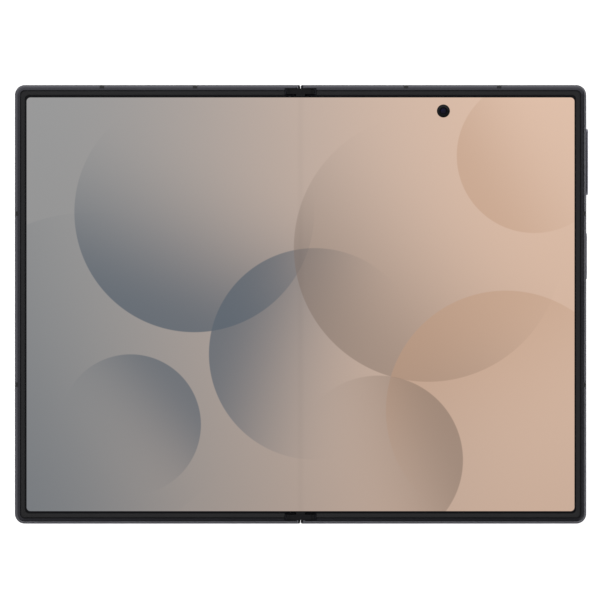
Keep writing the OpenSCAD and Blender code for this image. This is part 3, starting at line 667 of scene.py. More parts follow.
@dataclass(frozen=True)
class Wallpaper:
    """Lit screen: a soft two-way gradient under overlapping discs, with a painted shade along the fold.

    Attributes:
        half_size: Half width and half height of the lit area in millimetres.
        corner: Corner radius of the lit area in millimetres.
        eye: Centre of the black margin round the front camera, in millimetres.
        eye_r: Radius of that margin in millimetres.
        cool: Colour of the left side, a neutral grey.
        warm: Colour of the right side, a light peach.
        low: Share of the light that is left along the bottom edge.
        discs: The discs, from the lowest to the highest.
    """

    half_size: Point = (77.36, 58.41)
    corner: float = 1.1
    eye: Point = (40.35, 54.6)
    eye_r: float = 1.84
    cool: str = "#999999"
    warm: str = "#e0c0aa"
    low: float = 0.8
    discs: tuple[Disc, ...] = (
        Disc((-60, -20), 46, 200, SLATE, 0.55),
        Disc((-30, 26), 34, 250, SLATE, 0.85),
        Disc((4, -14), 30, 160, SLATE, 0.8),
        Disc((-48, -34), 20, 40, SLATE, 0.75),
        Disc((36, 16), 38, 230, TAUPE, 0.52),
        Disc((58, -30), 34, 120, CLAY, 0.52),
        Disc((22, -44), 24, 20, TAUPE, 0.6),
        Disc((66, 42), 22, 210, CLAY, 0.5),
    )

    def material(self, name: str, coords: str) -> bpy.types.Material:
        """Builds the lit screen's material.

        Args:
            name: The material's name.
            coords: "Object" on a rigid piece, or "UV" on one that bends, whose UVs
                then hold X and Y in units of SCREEN_UV metres.

        Returns:
            The finished material.
        """
        material, tree = new_material(name)
        where = add_node(tree, "ShaderNodeTexCoord").outputs[coords]
        scale = 1 / MM if coords == "Object" else SCREEN_UV / MM
        mm = add_node(
            tree, "ShaderNodeVectorMath", {0: where, "Scale": scale}, operation="SCALE"
        ).outputs[0]
        parts = add_node(tree, "ShaderNodeSeparateXYZ", {0: mm}).outputs
        half_w, half_h = self.half_size
        across = add_node(
            tree,
            "ShaderNodeMapRange",
            {0: parts["X"], 1: -half_w, 2: half_w},
            interpolation_type="SMOOTHSTEP",
        ).outputs[0]
        light = add_node(
            tree, "ShaderNodeMapRange", {0: parts["Y"], 1: -half_h, 2: half_h, 3: self.low, 4: 1.0}
        ).outputs[0]
        flat = add_node(tree, "ShaderNodeCombineXYZ", {"X": parts["X"], "Y": parts["Y"]}).outputs[0]
        colour = add_node(
            tree, "ShaderNodeMix", {0: across, 6: linear(self.cool), 7: linear(self.warm)}, data_type="RGBA"
        ).outputs[2]
        colour = add_node(
            tree, "ShaderNodeVectorMath", {0: colour, "Scale": light}, operation="SCALE"
        ).outputs[0]
        for disc in self.discs:
            colour = self._add_disc(tree, flat, colour, disc)
        lit = self._lit_mask(tree, parts)
        # Painted shade along the fold: the glow is dimmed by up to 3.5 per cent within 1.4 mm of the fold
        # line.
        off_fold = add_node(tree, "ShaderNodeMath", {0: parts["X"]}, operation="ABSOLUTE").outputs[0]
        painted_crease_shade = add_node(
            tree,
            "ShaderNodeMapRange",
            {0: off_fold, 1: 0.0, 2: 1.4, 3: 0.965, 4: 1.0},
            interpolation_type="SMOOTHSTEP",
        ).outputs[0]
        glow = add_node(tree, "ShaderNodeMath", {0: lit, 1: painted_crease_shade}, operation="MULTIPLY").outputs[0]
        glow_colour = add_node(
            tree,
            "ShaderNodeMix",
            {0: glow, 6: (0.0, 0.0, 0.0, 1.0), 7: colour},
            data_type="RGBA",
        ).outputs[2]
        shader = add_node(
            tree,
            "ShaderNodeBsdfPrincipled",
            {
                "Base Color": (0.004, 0.004, 0.005, 1.0),
                "Roughness": 0.14,
                "IOR": 1.35,
                "Emission Color": glow_colour,
                "Emission Strength": SCREEN_GLOW,
            },
        )
        add_node(tree, "ShaderNodeOutputMaterial", {"Surface": shader.outputs[0]})
        return material

    @staticmethod
    def _add_disc(
        tree: bpy.types.NodeTree,
        flat: bpy.types.NodeSocket,
        under: bpy.types.NodeSocket,
        disc: Disc,
    ) -> bpy.types.NodeSocket:
        """Lays one disc over the colours below it.

        Args:
            tree: The material's tree.
            flat: X and Y in millimetres.
            under: The colour below.
            disc: The disc.

        Returns:
            The new colour socket.
        """
        angle = math.radians(disc.toward_deg)
        toward = (math.cos(angle), math.sin(angle), 0.0)
        offset = add_node(
            tree, "ShaderNodeVectorMath", {0: flat, 1: (*disc.centre, 0.0)}, operation="SUBTRACT"
        ).outputs[0]
        reach = add_node(tree, "ShaderNodeVectorMath", {0: offset}, operation="LENGTH").outputs["Value"]
        inside = add_node(
            tree,
            "ShaderNodeMapRange",
            {0: reach, 1: disc.radius, 2: disc.radius - 0.25, 3: 0.0, 4: disc.strength},
        ).outputs[0]
        along = add_node(
            tree, "ShaderNodeVectorMath", {0: offset, 1: toward}, operation="DOT_PRODUCT"
        ).outputs["Value"]
        side = add_node(
            tree,
            "ShaderNodeMapRange",
            {0: along, 1: -disc.radius * 0.75, 2: disc.radius},
            interpolation_type="SMOOTHSTEP",
        ).outputs[0]
        soft = add_node(tree, "ShaderNodeMath", {0: side, 1: 1.6}, operation="POWER").outputs[0]
        cover = add_node(tree, "ShaderNodeMath", {0: inside, 1: soft}, operation="MULTIPLY").outputs[0]
        return add_node(
            tree, "ShaderNodeMix", {0: cover, 6: under, 7: linear(disc.shade)}, data_type="RGBA"
        ).outputs[2]

    def _lit_mask(
        self, tree: bpy.types.NodeTree, parts: Sequence[bpy.types.NodeSocket]
    ) -> bpy.types.NodeSocket:
        """1 inside the lit area's round-cornered outline, and 0 on the black border.

        Args:
            tree: The material's tree.
            parts: Sockets of X and Y in millimetres.

        Returns:
            The mask socket.
        """
        reach = past_corner(tree, parts, [half - self.corner for half in self.half_size])
        inside = add_node(
            tree, "ShaderNodeMapRange", {0: reach, 1: self.corner + 0.03, 2: self.corner - 0.03}
        ).outputs[0]
        flat = add_node(tree, "ShaderNodeCombineXYZ", {"X": parts["X"], "Y": parts["Y"]}).outputs[0]
        away = add_node(
            tree, "ShaderNodeVectorMath", {0: flat, 1: (*self.eye, 0.0)}, operation="DISTANCE"
        ).outputs["Value"]
        clear = add_node(
            tree, "ShaderNodeMapRange", {0: away, 1: self.eye_r - 0.03, 2: self.eye_r + 0.03}
        ).outputs[0]
        return add_node(tree, "ShaderNodeMath", {0: inside, 1: clear}, operation="MULTIPLY").outputs[0]


# ---- Plan of the body ----------------------------------------------------


@dataclass
class BodyPlan:
    """Sizes that the pieces share, in millimetres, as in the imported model.

    Attributes:
        half_w: Half width of the open body.
        half_h: Half height of the body.
        back_z: Height of the halves' back faces.
        half_t: Thickness of a half.
        corner_r: Radius of the outer corners.
        rim_t: Width of the metal band.
        screen_drop: Depth of the screen below the top of the rim.
        bay_x: Where the halves begin beside the hinge.
        axis_z: Height of the hinge axes above the back faces.
    """

    half_w: float = 80.7
    half_h: float = 61.95
    back_z: float = 1.9
    half_t: float = 4.9
    corner_r: float = 2.8
    rim_t: float = 1.5
    screen_drop: float = 0.3
    bay_x: float = 4.5
    axis_z: float = 3.25

    @property
    def screen_z(self) -> float:
        """Height of the screen's face, in millimetres."""
        return self.back_z + self.half_t - self.screen_drop

    @property
    def top_z(self) -> float:
        """Height of the rim's top, in millimetres."""
        return self.back_z + self.half_t

    def outline(self, side: int, inset: float, radius: float, steps: int = 10) -> list[Point]:
        """Open outline of one half from the hinge round to the hinge.

        Args:
            side: 1 for the right half and -1 for the left.
            inset: Distance in from the body's edge.
            radius: Corner radius.
            steps: Sides of each corner.

        Returns:
            Points in millimetres, from the bottom of the fold to its top.
        """
        x1, y1 = self.half_w - inset, self.half_h - inset
        points = [(self.bay_x, -y1)]
        for centre_y, start in ((radius - y1, -90), (y1 - radius, 0)):
            for i in range(steps + 1):
                angle = math.radians(start + 90 * i / steps)
                points.append((x1 - radius + radius * math.cos(angle), centre_y + radius * math.sin(angle)))
        points.append((self.bay_x, y1))
        return [(side * x, y) for x, y in points]


# ---- Sub-assemblies ------------------------------------------------------


@dataclass
class Wardrobe:
    """Builds each finish once and hands it out.

    Attributes:
        made: Materials that exist already, by name.
    """

    made: dict[str, bpy.types.Material] = field(default_factory=dict)

    def get(self, finish: Finish) -> bpy.types.Material:
        """Returns the material of a finish, built on first use."""
        if finish.name not in self.made:
            self.made[finish.name] = finish.build()
        return self.made[finish.name]

    def dress(self, piece: bpy.types.Object, finish: Finish, slot: str) -> bpy.types.Object:
        """Gives a new piece its material.

        Args:
            piece: The new piece.
            finish: Its finish.
            slot: Name of the record's material slot; not used.

        Returns:
            The same piece.
        """
        piece.data.materials.clear()
        piece.data.materials.append(self.get(finish))
        return piece

    def repaint(self, frame: dict, nodes: Sequence[str], finish: Finish) -> None:
        """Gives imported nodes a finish.

        Args:
            nodes: Names of the nodes.
            finish: Their finish.
        """
        for name in nodes:
            self.hang(frame["nodes"][name], self.get(finish))

    @staticmethod
    def hang(piece: bpy.types.Object, material: bpy.types.Material) -> None:
        """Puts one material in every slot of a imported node."""
        for holder in piece.material_slots:
            holder.material = material


@dataclass
class Screen:
    """The flexible screen, its fold and its soft bezel.

    Attributes:
        plan: Shared sizes.
        wardrobe: Finishes.
        edge_inset: Distance from the body's edge to the inner edge of the bezel.
        panel_t: Thickness of the panel.
        sheet_t: Thickness of the slotted sheet under the fold.
        strip_half_h: Half height of the strip over the fold.
        bezel_gap: Gap between the metal band and the bezel.
        groove: Width of the step along the bezel's outer edge.
        groove_drop: Depth of that step.
        chamfer: Size of the flat on the step's inner edge.
        lip_r: Radius of the bezel's rounded inner lip.
        corner_r: Radius of the screen's inner corners.
    """

    plan: BodyPlan
    wardrobe: Wardrobe
    edge_inset: float = 2.9
    panel_t: float = 0.55
    sheet_t: float = 0.15
    strip_half_h: float = 58.7
    bezel_gap: float = 0.1
    groove: float = 0.2
    groove_drop: float = 0.22
    chamfer: float = 0.05
    lip_r: float = 0.28
    corner_r: float = 1.1

    def build(self, frame: dict) -> None:
        """Builds and dresses the screen.
        """
        paper = Wallpaper()
        rigid = paper.material("lit_screen_half", "Object")
        for node in ("right_screen_panel", "left_screen_panel"):
            self.wardrobe.hang(frame["nodes"][node], rigid)
        bending = paper.material("lit_screen_fold", "UV")
        base = self.plan.screen_z - self.panel_t
        self._fold_layer("fold_screen", base, self.panel_t, bending, "fold_screen_strip")
        steel = self.wardrobe.get(MACHINED_STEEL)
        low = base - self.sheet_t
        self._fold_layer("fold_sheet", low, self.sheet_t, steel, "fold_lattice")
        for side, name in ((1, "right"), (-1, "left")):
            self._bezel(side, f"{name}_soft_bezel", f"{name}_bezel", f"{name}_half")
        self.wardrobe.repaint(frame, ["right_screen_plate", "left_screen_plate"], TINNED_STEEL)
        LOG.info("screen: two panels, fold strip, bezel")

    def _fold_layer(
        self, name: str, base: float, thick: float, material: bpy.types.Material, node: str
    ) -> None:
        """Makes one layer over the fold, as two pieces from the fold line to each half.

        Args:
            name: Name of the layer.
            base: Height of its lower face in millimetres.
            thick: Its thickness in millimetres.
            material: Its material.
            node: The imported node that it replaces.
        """
        for side, half in ((1, "right_half"), (-1, "left_half")):
            piece = self._strip(f"{name}_{half}", side, base, thick)
            piece.data.materials.append(material)
            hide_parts(node)
            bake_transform(piece)

    def _strip(
        self, name: str, side: int, base: float, thick: float, columns: int = 24, rows: int = 40
    ) -> bpy.types.Object:
        """Thin box from the fold line to one half, cut fine enough to bend.

        Args:
            name: The piece's name.
            side: 1 for the right and -1 for the left.
            base: Height of its lower face in millimetres.
            thick: Its thickness in millimetres.
            columns: Cuts across the fold.
            rows: Cuts along the fold.

        Returns:
            The strip, with X and Y kept in its UVs.
        """
        xs = [side * self.plan.bay_x * i / columns for i in range(columns + 1)]
        ys = [self.strip_half_h * (2 * j / rows - 1) for j in range(rows + 1)]
        points, faces = [], []
        for z in (base, base + thick):
            points += [(x * MM, y * MM, z * MM) for x in xs for y in ys]
        layer = len(xs) * len(ys)

        def at(i: int, j: int, k: int) -> int:
            """Number of the corner in column i, row j and layer k."""
            return k * layer + i * len(ys) + j

        for i in range(columns):
            for j in range(rows):
                for k in (0, 1):
                    faces.append((at(i, j, k), at(i + 1, j, k), at(i + 1, j + 1, k), at(i, j + 1, k)))
        for j in range(rows):
            for i in (0, columns):
                faces.append((at(i, j, 0), at(i, j + 1, 0), at(i, j + 1, 1), at(i, j, 1)))
        for i in range(columns):
            for j in (0, rows):
                faces.append((at(i, j, 0), at(i + 1, j, 0), at(i + 1, j, 1), at(i, j, 1)))
        piece = make_mesh(name, points, faces)
        layer_uv = piece.data.uv_layers.new(name="rest_place")
        for loop in piece.data.loops:
            corner = piece.data.vertices[loop.vertex_index].co
            layer_uv.data[loop.index].uv = (corner.x / SCREEN_UV, corner.y / SCREEN_UV)
        return piece

    def _bezel(self, side: int, name: str, node: str, body: str) -> None:
        """Lofts one half's bezel with a rounded inner lip.

        Args:
            side: 1 for the right half and -1 for the left.
            name: The piece's name.
            node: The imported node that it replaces.
            body: The body that it rides on.
        """
        low, high = self.plan.screen_z, self.plan.top_z
        outer, inner = self.plan.rim_t + self.bezel_gap, self.edge_inset
        step, floor, lip = outer + self.groove, high - self.groove_drop, self.lip_r
        section = [(outer, low), (outer, floor), (step, floor)]
        section += [(step, high - self.chamfer), (step + self.chamfer, high)]
        for angle in range(90, -1, -15):
            turn = math.radians(angle)
            section.append((inner - lip + lip * math.cos(turn), high - lip + lip * math.sin(turn)))
        section.append((inner, low))
        rings = []
        for inset, z in section:
            share = (inset - outer) / (inner - outer)
            least = self.plan.corner_r - self.plan.rim_t
            radius = least + share * (self.corner_r - least)
            rings.append([(x * MM, y * MM, z * MM) for x, y in self.plan.outline(side, inset, radius)])
        rings = [list(ring) for ring in zip(*rings)]
        piece = loft(name, rings)
        self.wardrobe.dress(piece, BEZEL_TPE, "bezel_rubber")
        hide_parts(node)
        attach(piece, body)


@dataclass
class Halves:
    """Metal bands, glass backs and everything that shows on the halves.

    Attributes:
        plan: Shared sizes.
        wardrobe: Finishes.
    """

    plan: BodyPlan
    wardrobe: Wardrobe

    def build(self, frame: dict) -> None:
        """Dresses the halves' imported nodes.
        """
        sets = (
            (ANODISED_BAND, ["right_frame", "left_frame", "card_tray"]),
            (AERIAL_PLASTIC, ["right_antenna_breaks", "left_antenna_breaks"]),
            (ETCHED_BACK, ["right_back_glass"]),
            (POLISHED_COVER, ["cover_glass", "cover_screen"]),
            (FROSTED_FLASH, ["flash_lens"]),
            (CARD_GOLD, ["card"]),
        )
        for finish, nodes in sets:
            self.wardrobe.repaint(frame, nodes, finish)
        LOG.info("halves: bands, backs, breaks")


@dataclass(frozen=True)
class Key:
    """Sizes of one side key, in millimetres.

    Attributes:
        node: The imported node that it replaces, which is also its body.
        length: Length of the key.
        y: Height of its centre above the middle of the edge.
        out: How far it stands out.
    """

    node: str
    length: float
    y: float
    out: float


@dataclass
class Keys:
    """The two side keys, with rounded faces.

    Attributes:
        plan: Shared sizes.
        wardrobe: Finishes.
        key_z: Height of the keys' centre above the back face.
        width: Width of a key across the edge.
        depth: How far a key reaches into the wall.
        soft: Radius of the rounding round a key's face.
        keys: The keys.
    """

    plan: BodyPlan
    wardrobe: Wardrobe
    key_z: float = 2.25
    width: float = 2.0
    depth: float = 1.65
    soft: float = 0.35
    keys: tuple[Key, ...] = (Key("volume_key", 18.7, 40.2, 0.55), Key("power_key", 13.1, 13.6, 0.25))

    def build(self) -> None:
        """Makes both keys."""
        for key in self.keys:
            self._key(key)
        LOG.info("keys: volume and power")

    def _key(self, key: Key) -> None:
        """Lofts one key from its flange to its softly rounded face.

        Args:
            key: Its sizes.
        """
        face = self.plan.half_w + key.out
        section = [(face - key.out - self.depth, 0.0)]
        for angle in range(0, 91, 15):
            turn = math.radians(angle)
            reach, drawn_in = self.soft * math.sin(turn), self.soft * (1 - math.cos(turn))
            section.append((face - self.soft + reach, drawn_in))
        rings = []
        middle = self.plan.back_z + self.key_z
        for x, drawn_in in section:
            outline = stadium_ring(key.length - 2 * drawn_in, self.width - 2 * drawn_in)
            rings.append([(x * MM, (key.y + u) * MM, (middle + v) * MM) for u, v in outline])
        piece = loft(f"{key.node}_cap", rings)
        # The keys take the band's metal in a paler colour, a painted highlight.
        self.wardrobe.dress(piece, KEY_METAL_PAINTED_PALER, "titanium_frame")
        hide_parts(key.node)
        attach(piece, key.node)


@dataclass
class Ports:
    """Wire mesh in the sound holes and the contacts of the charging socket.

    Attributes:
        plan: Shared sizes.
        wardrobe: Finishes.
        hole_r: Radius of a sound hole.
        hole_z: Height of the holes above the back face.
        hole_pitch: Distance between two holes of a row.
        mesh_lap: How far the mesh reaches past a hole's wall.
        mesh_depths: Depths of the mesh's outer and inner face below the edge.
        socket: Centre of the socket, across and above the back face.
        tongue_half: Half thickness of the socket's tongue, where the contacts lie.
        contact_ends: Distances of the contacts' ends from the bottom edge.
        rows: Each row's name, body, first hole and edge, where 1 is the top edge.
    """

    plan: BodyPlan
    wardrobe: Wardrobe
    hole_r: float = 0.55
    hole_z: float = 2.25
    hole_pitch: float = 2.0
    mesh_lap: float = 0.03
    mesh_depths: Point = (0.6, 0.75)
    socket: Point = (40.35, 2.23)
    tongue_half: float = 0.36
    contact_ends: Point = (1.9, 5.4)
    rows: tuple[tuple[str, str, float, int], ...] = (
        ("loudspeaker", "right_half", 52.0, -1),
        ("upper_speaker", "right_half", 8.0, 1),
        ("earpiece", "left_half", -54.0, 1),
    )

    def build(self) -> None:
        """Makes the meshes and the contacts."""
        for name, body, first, edge in self.rows:
            self._mesh_row(f"{name}_mesh", body, first, edge)
        self._contacts()
        LOG.info("ports: %d rows of mesh, contacts", len(self.rows))

    def _mesh_row(self, name: str, body: str, first: float, edge: int, count: int = 6) -> None:
        """Fills one row of holes with small discs of woven wire.

        Args:
            name: The piece's name.
            body: The body that it rides on.
            first: X of the hole nearest the fold, in millimetres.
            edge: 1 for the top edge and -1 for the bottom edge.
            count: Number of holes.
        """
        points, faces = [], []
        away = 1 if first > 0 else -1
        sides = 24
        for i in range(count):
            x = first + self.hole_pitch * i * away
            for depth in self.mesh_depths:
                y = edge * (self.plan.half_h - depth)
                for k in range(sides):
                    turn = 2 * math.pi * k / sides
                    reach = self.hole_r + self.mesh_lap
                    z = self.plan.back_z + self.hole_z + reach * math.sin(turn)
                    points.append(((x + reach * math.cos(turn)) * MM, y * MM, z * MM))
            start = i * 2 * sides
            faces.append(tuple(start + k for k in range(sides)))
            faces.append(tuple(start + sides + k for k in range(sides)))
            for k in range(sides):
                n = (k + 1) % sides
                faces.append((start + k, start + n, start + sides + n, start + sides + k))
        piece = make_mesh(name, points, faces)
        self.wardrobe.dress(piece, SOUND_MESH, "module_black")
        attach(piece, body)

    def _contacts(self, count: int = 12, pitch: float = 0.5, width: float = 0.25) -> None:
        """Lays gold contacts on both sides of the socket's tongue.

        Args:
            count: Contacts on each side.
            pitch: Distance between them.
            width: Width of one contact.
        """
        points, faces = [], []
        y0, y1 = (end - self.plan.half_h for end in self.contact_ends)
        for side in (1, -1):
            middle = self.plan.back_z + self.socket[1] + side * self.tongue_half
            for i in range(count):
                x = self.socket[0] + (i - (count - 1) / 2) * pitch
                start = len(points)
                for dz in (-0.02, 0.02):
                    for dx, y in ((-1, y0), (1, y0), (1, y1), (-1, y1)):
                        points.append(((x + dx * width / 2) * MM, y * MM, (middle + dz) * MM))
                faces.append(tuple(start + k for k in (0, 1, 2, 3)))
                faces.append(tuple(start + k for k in (4, 5, 6, 7)))
                for k in range(4):
                    n = (k + 1) % 4
                    faces.append((start + k, start + n, start + 4 + n, start + 4 + k))
        piece = make_mesh("socket_contacts", points, faces)
        self.wardrobe.dress(piece, CARD_GOLD, "card")
        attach(piece, "right_half")


@dataclass
class Cameras:
    """Camera island, its lenses and the front camera.

    Attributes:
        plan: Shared sizes.
        wardrobe: Finishes.
        island: Centre of the island.
        island_size: Length and width of the island.
        island_h: Height of the island.
        ring_h: Height of the lens rings.
        pitch: Distance between the lenses.
        window_hole_r: Radius of the island's hole for each lens.
        eye: Centre of the front camera.
        cover_eye_drop: Distance from the top edge to the camera behind the cover glass.
    """

    plan: BodyPlan
    wardrobe: Wardrobe
    island: Point = (68.0, 36.5)
    island_size: Point = (45.0, 17.0)
    island_h: float = 1.4
    ring_h: float = 0.5
    pitch: float = 13.4
    window_hole_r: float = 4.59
    eye: Point = (40.35, 54.6)
    cover_eye_drop: float = 8.0

    def build(self, frame: dict) -> None:
        """Builds the island and the lenses.
        """
        self._island()
        for i, name in ((1, "upper"), (0, "middle"), (-1, "lower")):
            self._lens(name, self.island[1] + i * self.pitch)
        self._eye()
        self._cover_eye()
        self.wardrobe.repaint(frame, ["camera_modules", "cover_camera"], MODULE_PLASTIC)
        LOG.info("cameras: island, three lenses, front camera")

    def _island(self) -> None:
        """Lofts the island with a rounded rim, and its three turned rings."""
        length, width = self.island_size
        soft = 0.5
        section = [(0.0, 0.0)]
        for i in range(9):
            turn = math.radians(90 * i / 8)
            section.append((soft * (1 - math.cos(turn)), -self.island_h + soft - soft * math.sin(turn)))
        rings = []
        for drawn_in, z in section:
            outline = stadium_ring(length - 2 * drawn_in, width - 2 * drawn_in, 24)
            rings.append(
                [
                    ((self.island[0] + v) * MM, (self.island[1] + u) * MM, (self.plan.back_z + z) * MM)
                    for u, v in outline
                ]
            )
        holes = []
        turns = [2 * math.pi * k / 64 for k in range(64)]
        ring = [(self.window_hole_r * math.cos(t), self.window_hole_r * math.sin(t)) for t in turns]
        for i in (-1, 0, 1):
            middle = self.island[1] + i * self.pitch
            holes.append([((self.island[0] + x) * MM, (middle + y) * MM) for x, y in ring])
        piece = pierced("island_shell", rings, holes)
        self.wardrobe.dress(piece, MILLED_ISLAND, "camera_island_metal")
        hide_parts("camera_island")
        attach(piece, "right_half")

    def _lens(self, name: str, y: float) -> None:
        """Makes one lens: a turned ring, its stepped barrel and a domed glass.

        Args:
            name: Which lens.
            y: Height of its centre.
        """
        centre = Vector((self.island[0] * MM, y * MM, (self.plan.back_z - self.island_h) * MM))
        top = -self.ring_h
        ring = [(5.6, 0.02), (5.6, top + 0.15), (5.57, top + 0.06), (5.45, top), (4.8, top)]
        ring += [(4.65, top + 0.05), (4.58, top + 0.16), (4.58, 0.02)]
        piece = self._annulus(f"lens_ring_{name}", ring, centre)
        self.wardrobe.dress(piece, TURNED_RING, "camera_island_metal")
        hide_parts("camera_island")
        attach(piece, "right_half")
        window = [(4.56, top + 0.14), (3.3, top + 0.14), (3.24, top + 0.2), (3.24, 0.0), (4.56, 0.0)]
        piece = self._annulus(f"lens_window_{name}", window, centre)
        self.wardrobe.dress(piece, POLISHED_COVER, "lens_glass")
        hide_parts("lens_glasses")
        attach(piece, "right_half")
        steps = [(3.23, top + 0.34)]
        for i in range(4):
            radius = 2.9 - 0.3 * i
            depth = top + 0.34 + 0.12 * i
            steps += [(radius, depth), (radius, depth + 0.12)]
        steps += [(1.7, 0.42), (3.23, 0.42)]
        piece = self._annulus(f"lens_barrel_{name}", steps, centre)
        self.wardrobe.dress(piece, BLACK_BARREL, "module_black")
        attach(piece, "right_half")
        dome = [(0.01, top + 0.52), (0.7, top + 0.55), (1.3, top + 0.64), (1.8, top + 0.8), (1.98, top + 0.9)]
        piece = lathe(f"lens_dome_{name}", [*dome, (1.98, 0.42), (0.01, 0.42)], centre)
        self.wardrobe.dress(piece, COATED_LENS, "lens_glass")
        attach(piece, "right_half")

    def _annulus(
        self, name: str, profile: Sequence[Point], centre: Vector, steps: int = 72
    ) -> bpy.types.Object:
        """Turns a closed section that doesn't reach the axis.

        Args:
            name: The piece's name.
            profile: Radius and height pairs round the section.
            centre: Foot of the axis, in metres.
            steps: Sides of the ring.

        Returns:
            The ring.
        """
        points, faces = [], []
        count = len(profile)
        for i in range(steps):
            angle = 2 * math.pi * i / steps
            for radius, height in profile:
                points.append(
                    (
                        centre.x + radius * MM * math.cos(angle),
                        centre.y + radius * MM * math.sin(angle),
                        centre.z + height * MM,
                    )
                )
        for i in range(steps):
            for j in range(count):
                k, n = (j + 1) % count, (i + 1) % steps
                faces.append((i * count + j, n * count + j, n * count + k, i * count + k))
        return make_mesh(name, points, faces)

    def _eye(self) -> None:
        """Makes the front camera: a black barrel with a small coated lens."""
        foot = Vector((self.eye[0] * MM, self.eye[1] * MM, self.plan.screen_z * MM))
        barrel = [(1.66, -2.2), (1.66, -0.12), (1.5, -0.08), (0.95, -0.1), (0.86, -0.3), (0.86, -2.2)]
        piece = self._annulus("front_camera_barrel", barrel, foot)
        self.wardrobe.dress(piece, POLISHED_COVER, "module_black")
        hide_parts("front_camera")
        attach(piece, "right_half")
        lens = [(0.01, -0.16), (0.4, -0.18), (0.7, -0.24), (0.84, -0.34), (0.84, -1.0), (0.01, -1.0)]
        piece = lathe("front_camera_lens", lens, foot, 48)
        self.wardrobe.dress(piece, FRONT_LENS, "module_black")
        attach(piece, "right_half")

    def _cover_eye(self) -> None:
        """Shows the camera behind the cover glass, as a dark ring round a coated window."""
        y = self.plan.half_h - self.cover_eye_drop
        centre = Vector((-self.plan.half_w / 2 * MM, y * MM, self.plan.back_z * MM))
        ring = [(1.95, 0.05), (1.95, -0.012), (1.45, -0.012), (1.45, 0.05)]
        piece = self._annulus("cover_camera_ring", ring, centre)
        self.wardrobe.dress(piece, BLACK_BARREL, "module_black")
        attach(piece, "left_half")
        window = [(0.01, -0.02), (0.9, -0.018), (1.4, -0.01), (1.4, 0.05), (0.01, 0.05)]
        piece = lathe("cover_camera_window", window, centre, 48)
        self.wardrobe.dress(piece, COATED_LENS, "lens_glass")
        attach(piece, "left_half")


@dataclass
class Hinge:
    """The hinge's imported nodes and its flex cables.

    Attributes:
        plan: Shared sizes.
        wardrobe: Finishes.
        ribbon_ys: Middles of the two cables along the fold.
        ribbon_reach: How far a cable reaches from the fold.
        rise: Where a cable starts and stops to rise, from the fold.
        low: Height of a cable in the hinge, above the back faces.
        drop: Depth of a cable's end below the hinge axes.
    """

    plan: BodyPlan
    wardrobe: Wardrobe
    ribbon_ys: Point = (-20.0, 20.0)
    ribbon_reach: float = 7.7
    rise: Point = (1.0, 3.9)
    low: float = 1.4
    drop: float = 0.25

    def build(self, frame: dict) -> None:
        """Dresses the hinge.
        """
        brackets = [f"{half}_{kind}" for kind in ("hinge_brackets", "bracket_screws") for half in HALVES]
        gears = [f"idler_{end}_{half}" for end in ("top", "bottom") for half in HALVES]
        sets = (
            (POLISHED_SPINE, ["hinge_cover", "hinge_end_caps"]),
            (HINGE_PLASTIC, ["fold_bezel_covers"]),
            (MACHINED_STEEL, ["hinge_guide_blocks", "hinge_screws", *brackets]),
            (NITRIDED_GEAR, ["right_timing_arms", "left_timing_arms", *gears]),
        )
        for finish, nodes in sets:
            self.wardrobe.repaint(frame, nodes, finish)
        for y in self.ribbon_ys:
            self._ribbon(y)
        LOG.info("hinge: cover, guides, gears, ribbons")

    def _ribbon(self, y: float, width: float = 8.0, thick: float = 0.12) -> None:
        """Makes one flex cable as two pieces, one from the fold to each half.

        Args:
            y: Middle of the cable along the fold.
            width: Its width.
            thick: Its thickness.
        """
        end_z = self.plan.axis_z - self.drop + self.plan.back_z
        low_z = self.low + self.plan.back_z
        start_x, end_x = self.rise
        for side, half in ((1, "right_half"), (-1, "left_half")):
            rings = []
            for i in range(25):
                share = i / 24
                x = self.ribbon_reach * share
                up = min(max((x - start_x) / (end_x - start_x), 0.0), 1.0)
                z = low_z + (end_z - low_z) * up * up * (3 - 2 * up)
                rings.append(
                    [
                        (side * x * MM, (y + dy * width / 2) * MM, (z + dz * thick) * MM)
                        for dy, dz in ((-1, 0), (1, 0), (1, 1), (-1, 1))
                    ]
                )
            piece = loft(f"flex_cable_{'top' if y > 0 else 'bottom'}_{half}", rings)
            self.wardrobe.dress(piece, POLYIMIDE, "flex_film")
            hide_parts("hinge_flex_cables")
            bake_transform(piece)


@dataclass
class Insides:
    """Finishes of the pieces inside the halves.

    Attributes:
        wardrobe: Finishes.
    """

    wardrobe: Wardrobe

    def build(self, frame: dict) -> None:
        """Dresses the inner nodes.
        """
        sets = (
            (SOLDER_MASK, ["main_board", "lower_board", "left_board"]),
            (TINNED_STEEL, ["board_shields", "usb_shell", "card_reader", "vibration_motor"]),
            (POUCH_FOIL, ["right_battery", "left_battery"]),
            (ENAMELLED_COPPER, ["charging_coil"]),
            (POLYIMIDE, ["key_switches"]),
            (NICKEL_PLATE, ["right_magnets", "left_magnets"]),
            (MODULE_PLASTIC, ["usb_tongue", "loudspeaker", "earpiece"]),
        )
        for finish, nodes in sets:
            self.wardrobe.repaint(frame, nodes, finish)
        LOG.info("insides: %d finishes", len(sets))


# ---- Studio --------------------------------------------------------------


class Side(Enum):
    """Where a card stands round the phone, as the direction from the middle."""

    FRONT = (0.0, -1.0)
    RIGHT = (1.0, 0.0)
    BACK = (0.0, 1.0)
    LEFT = (-1.0, 0.0)


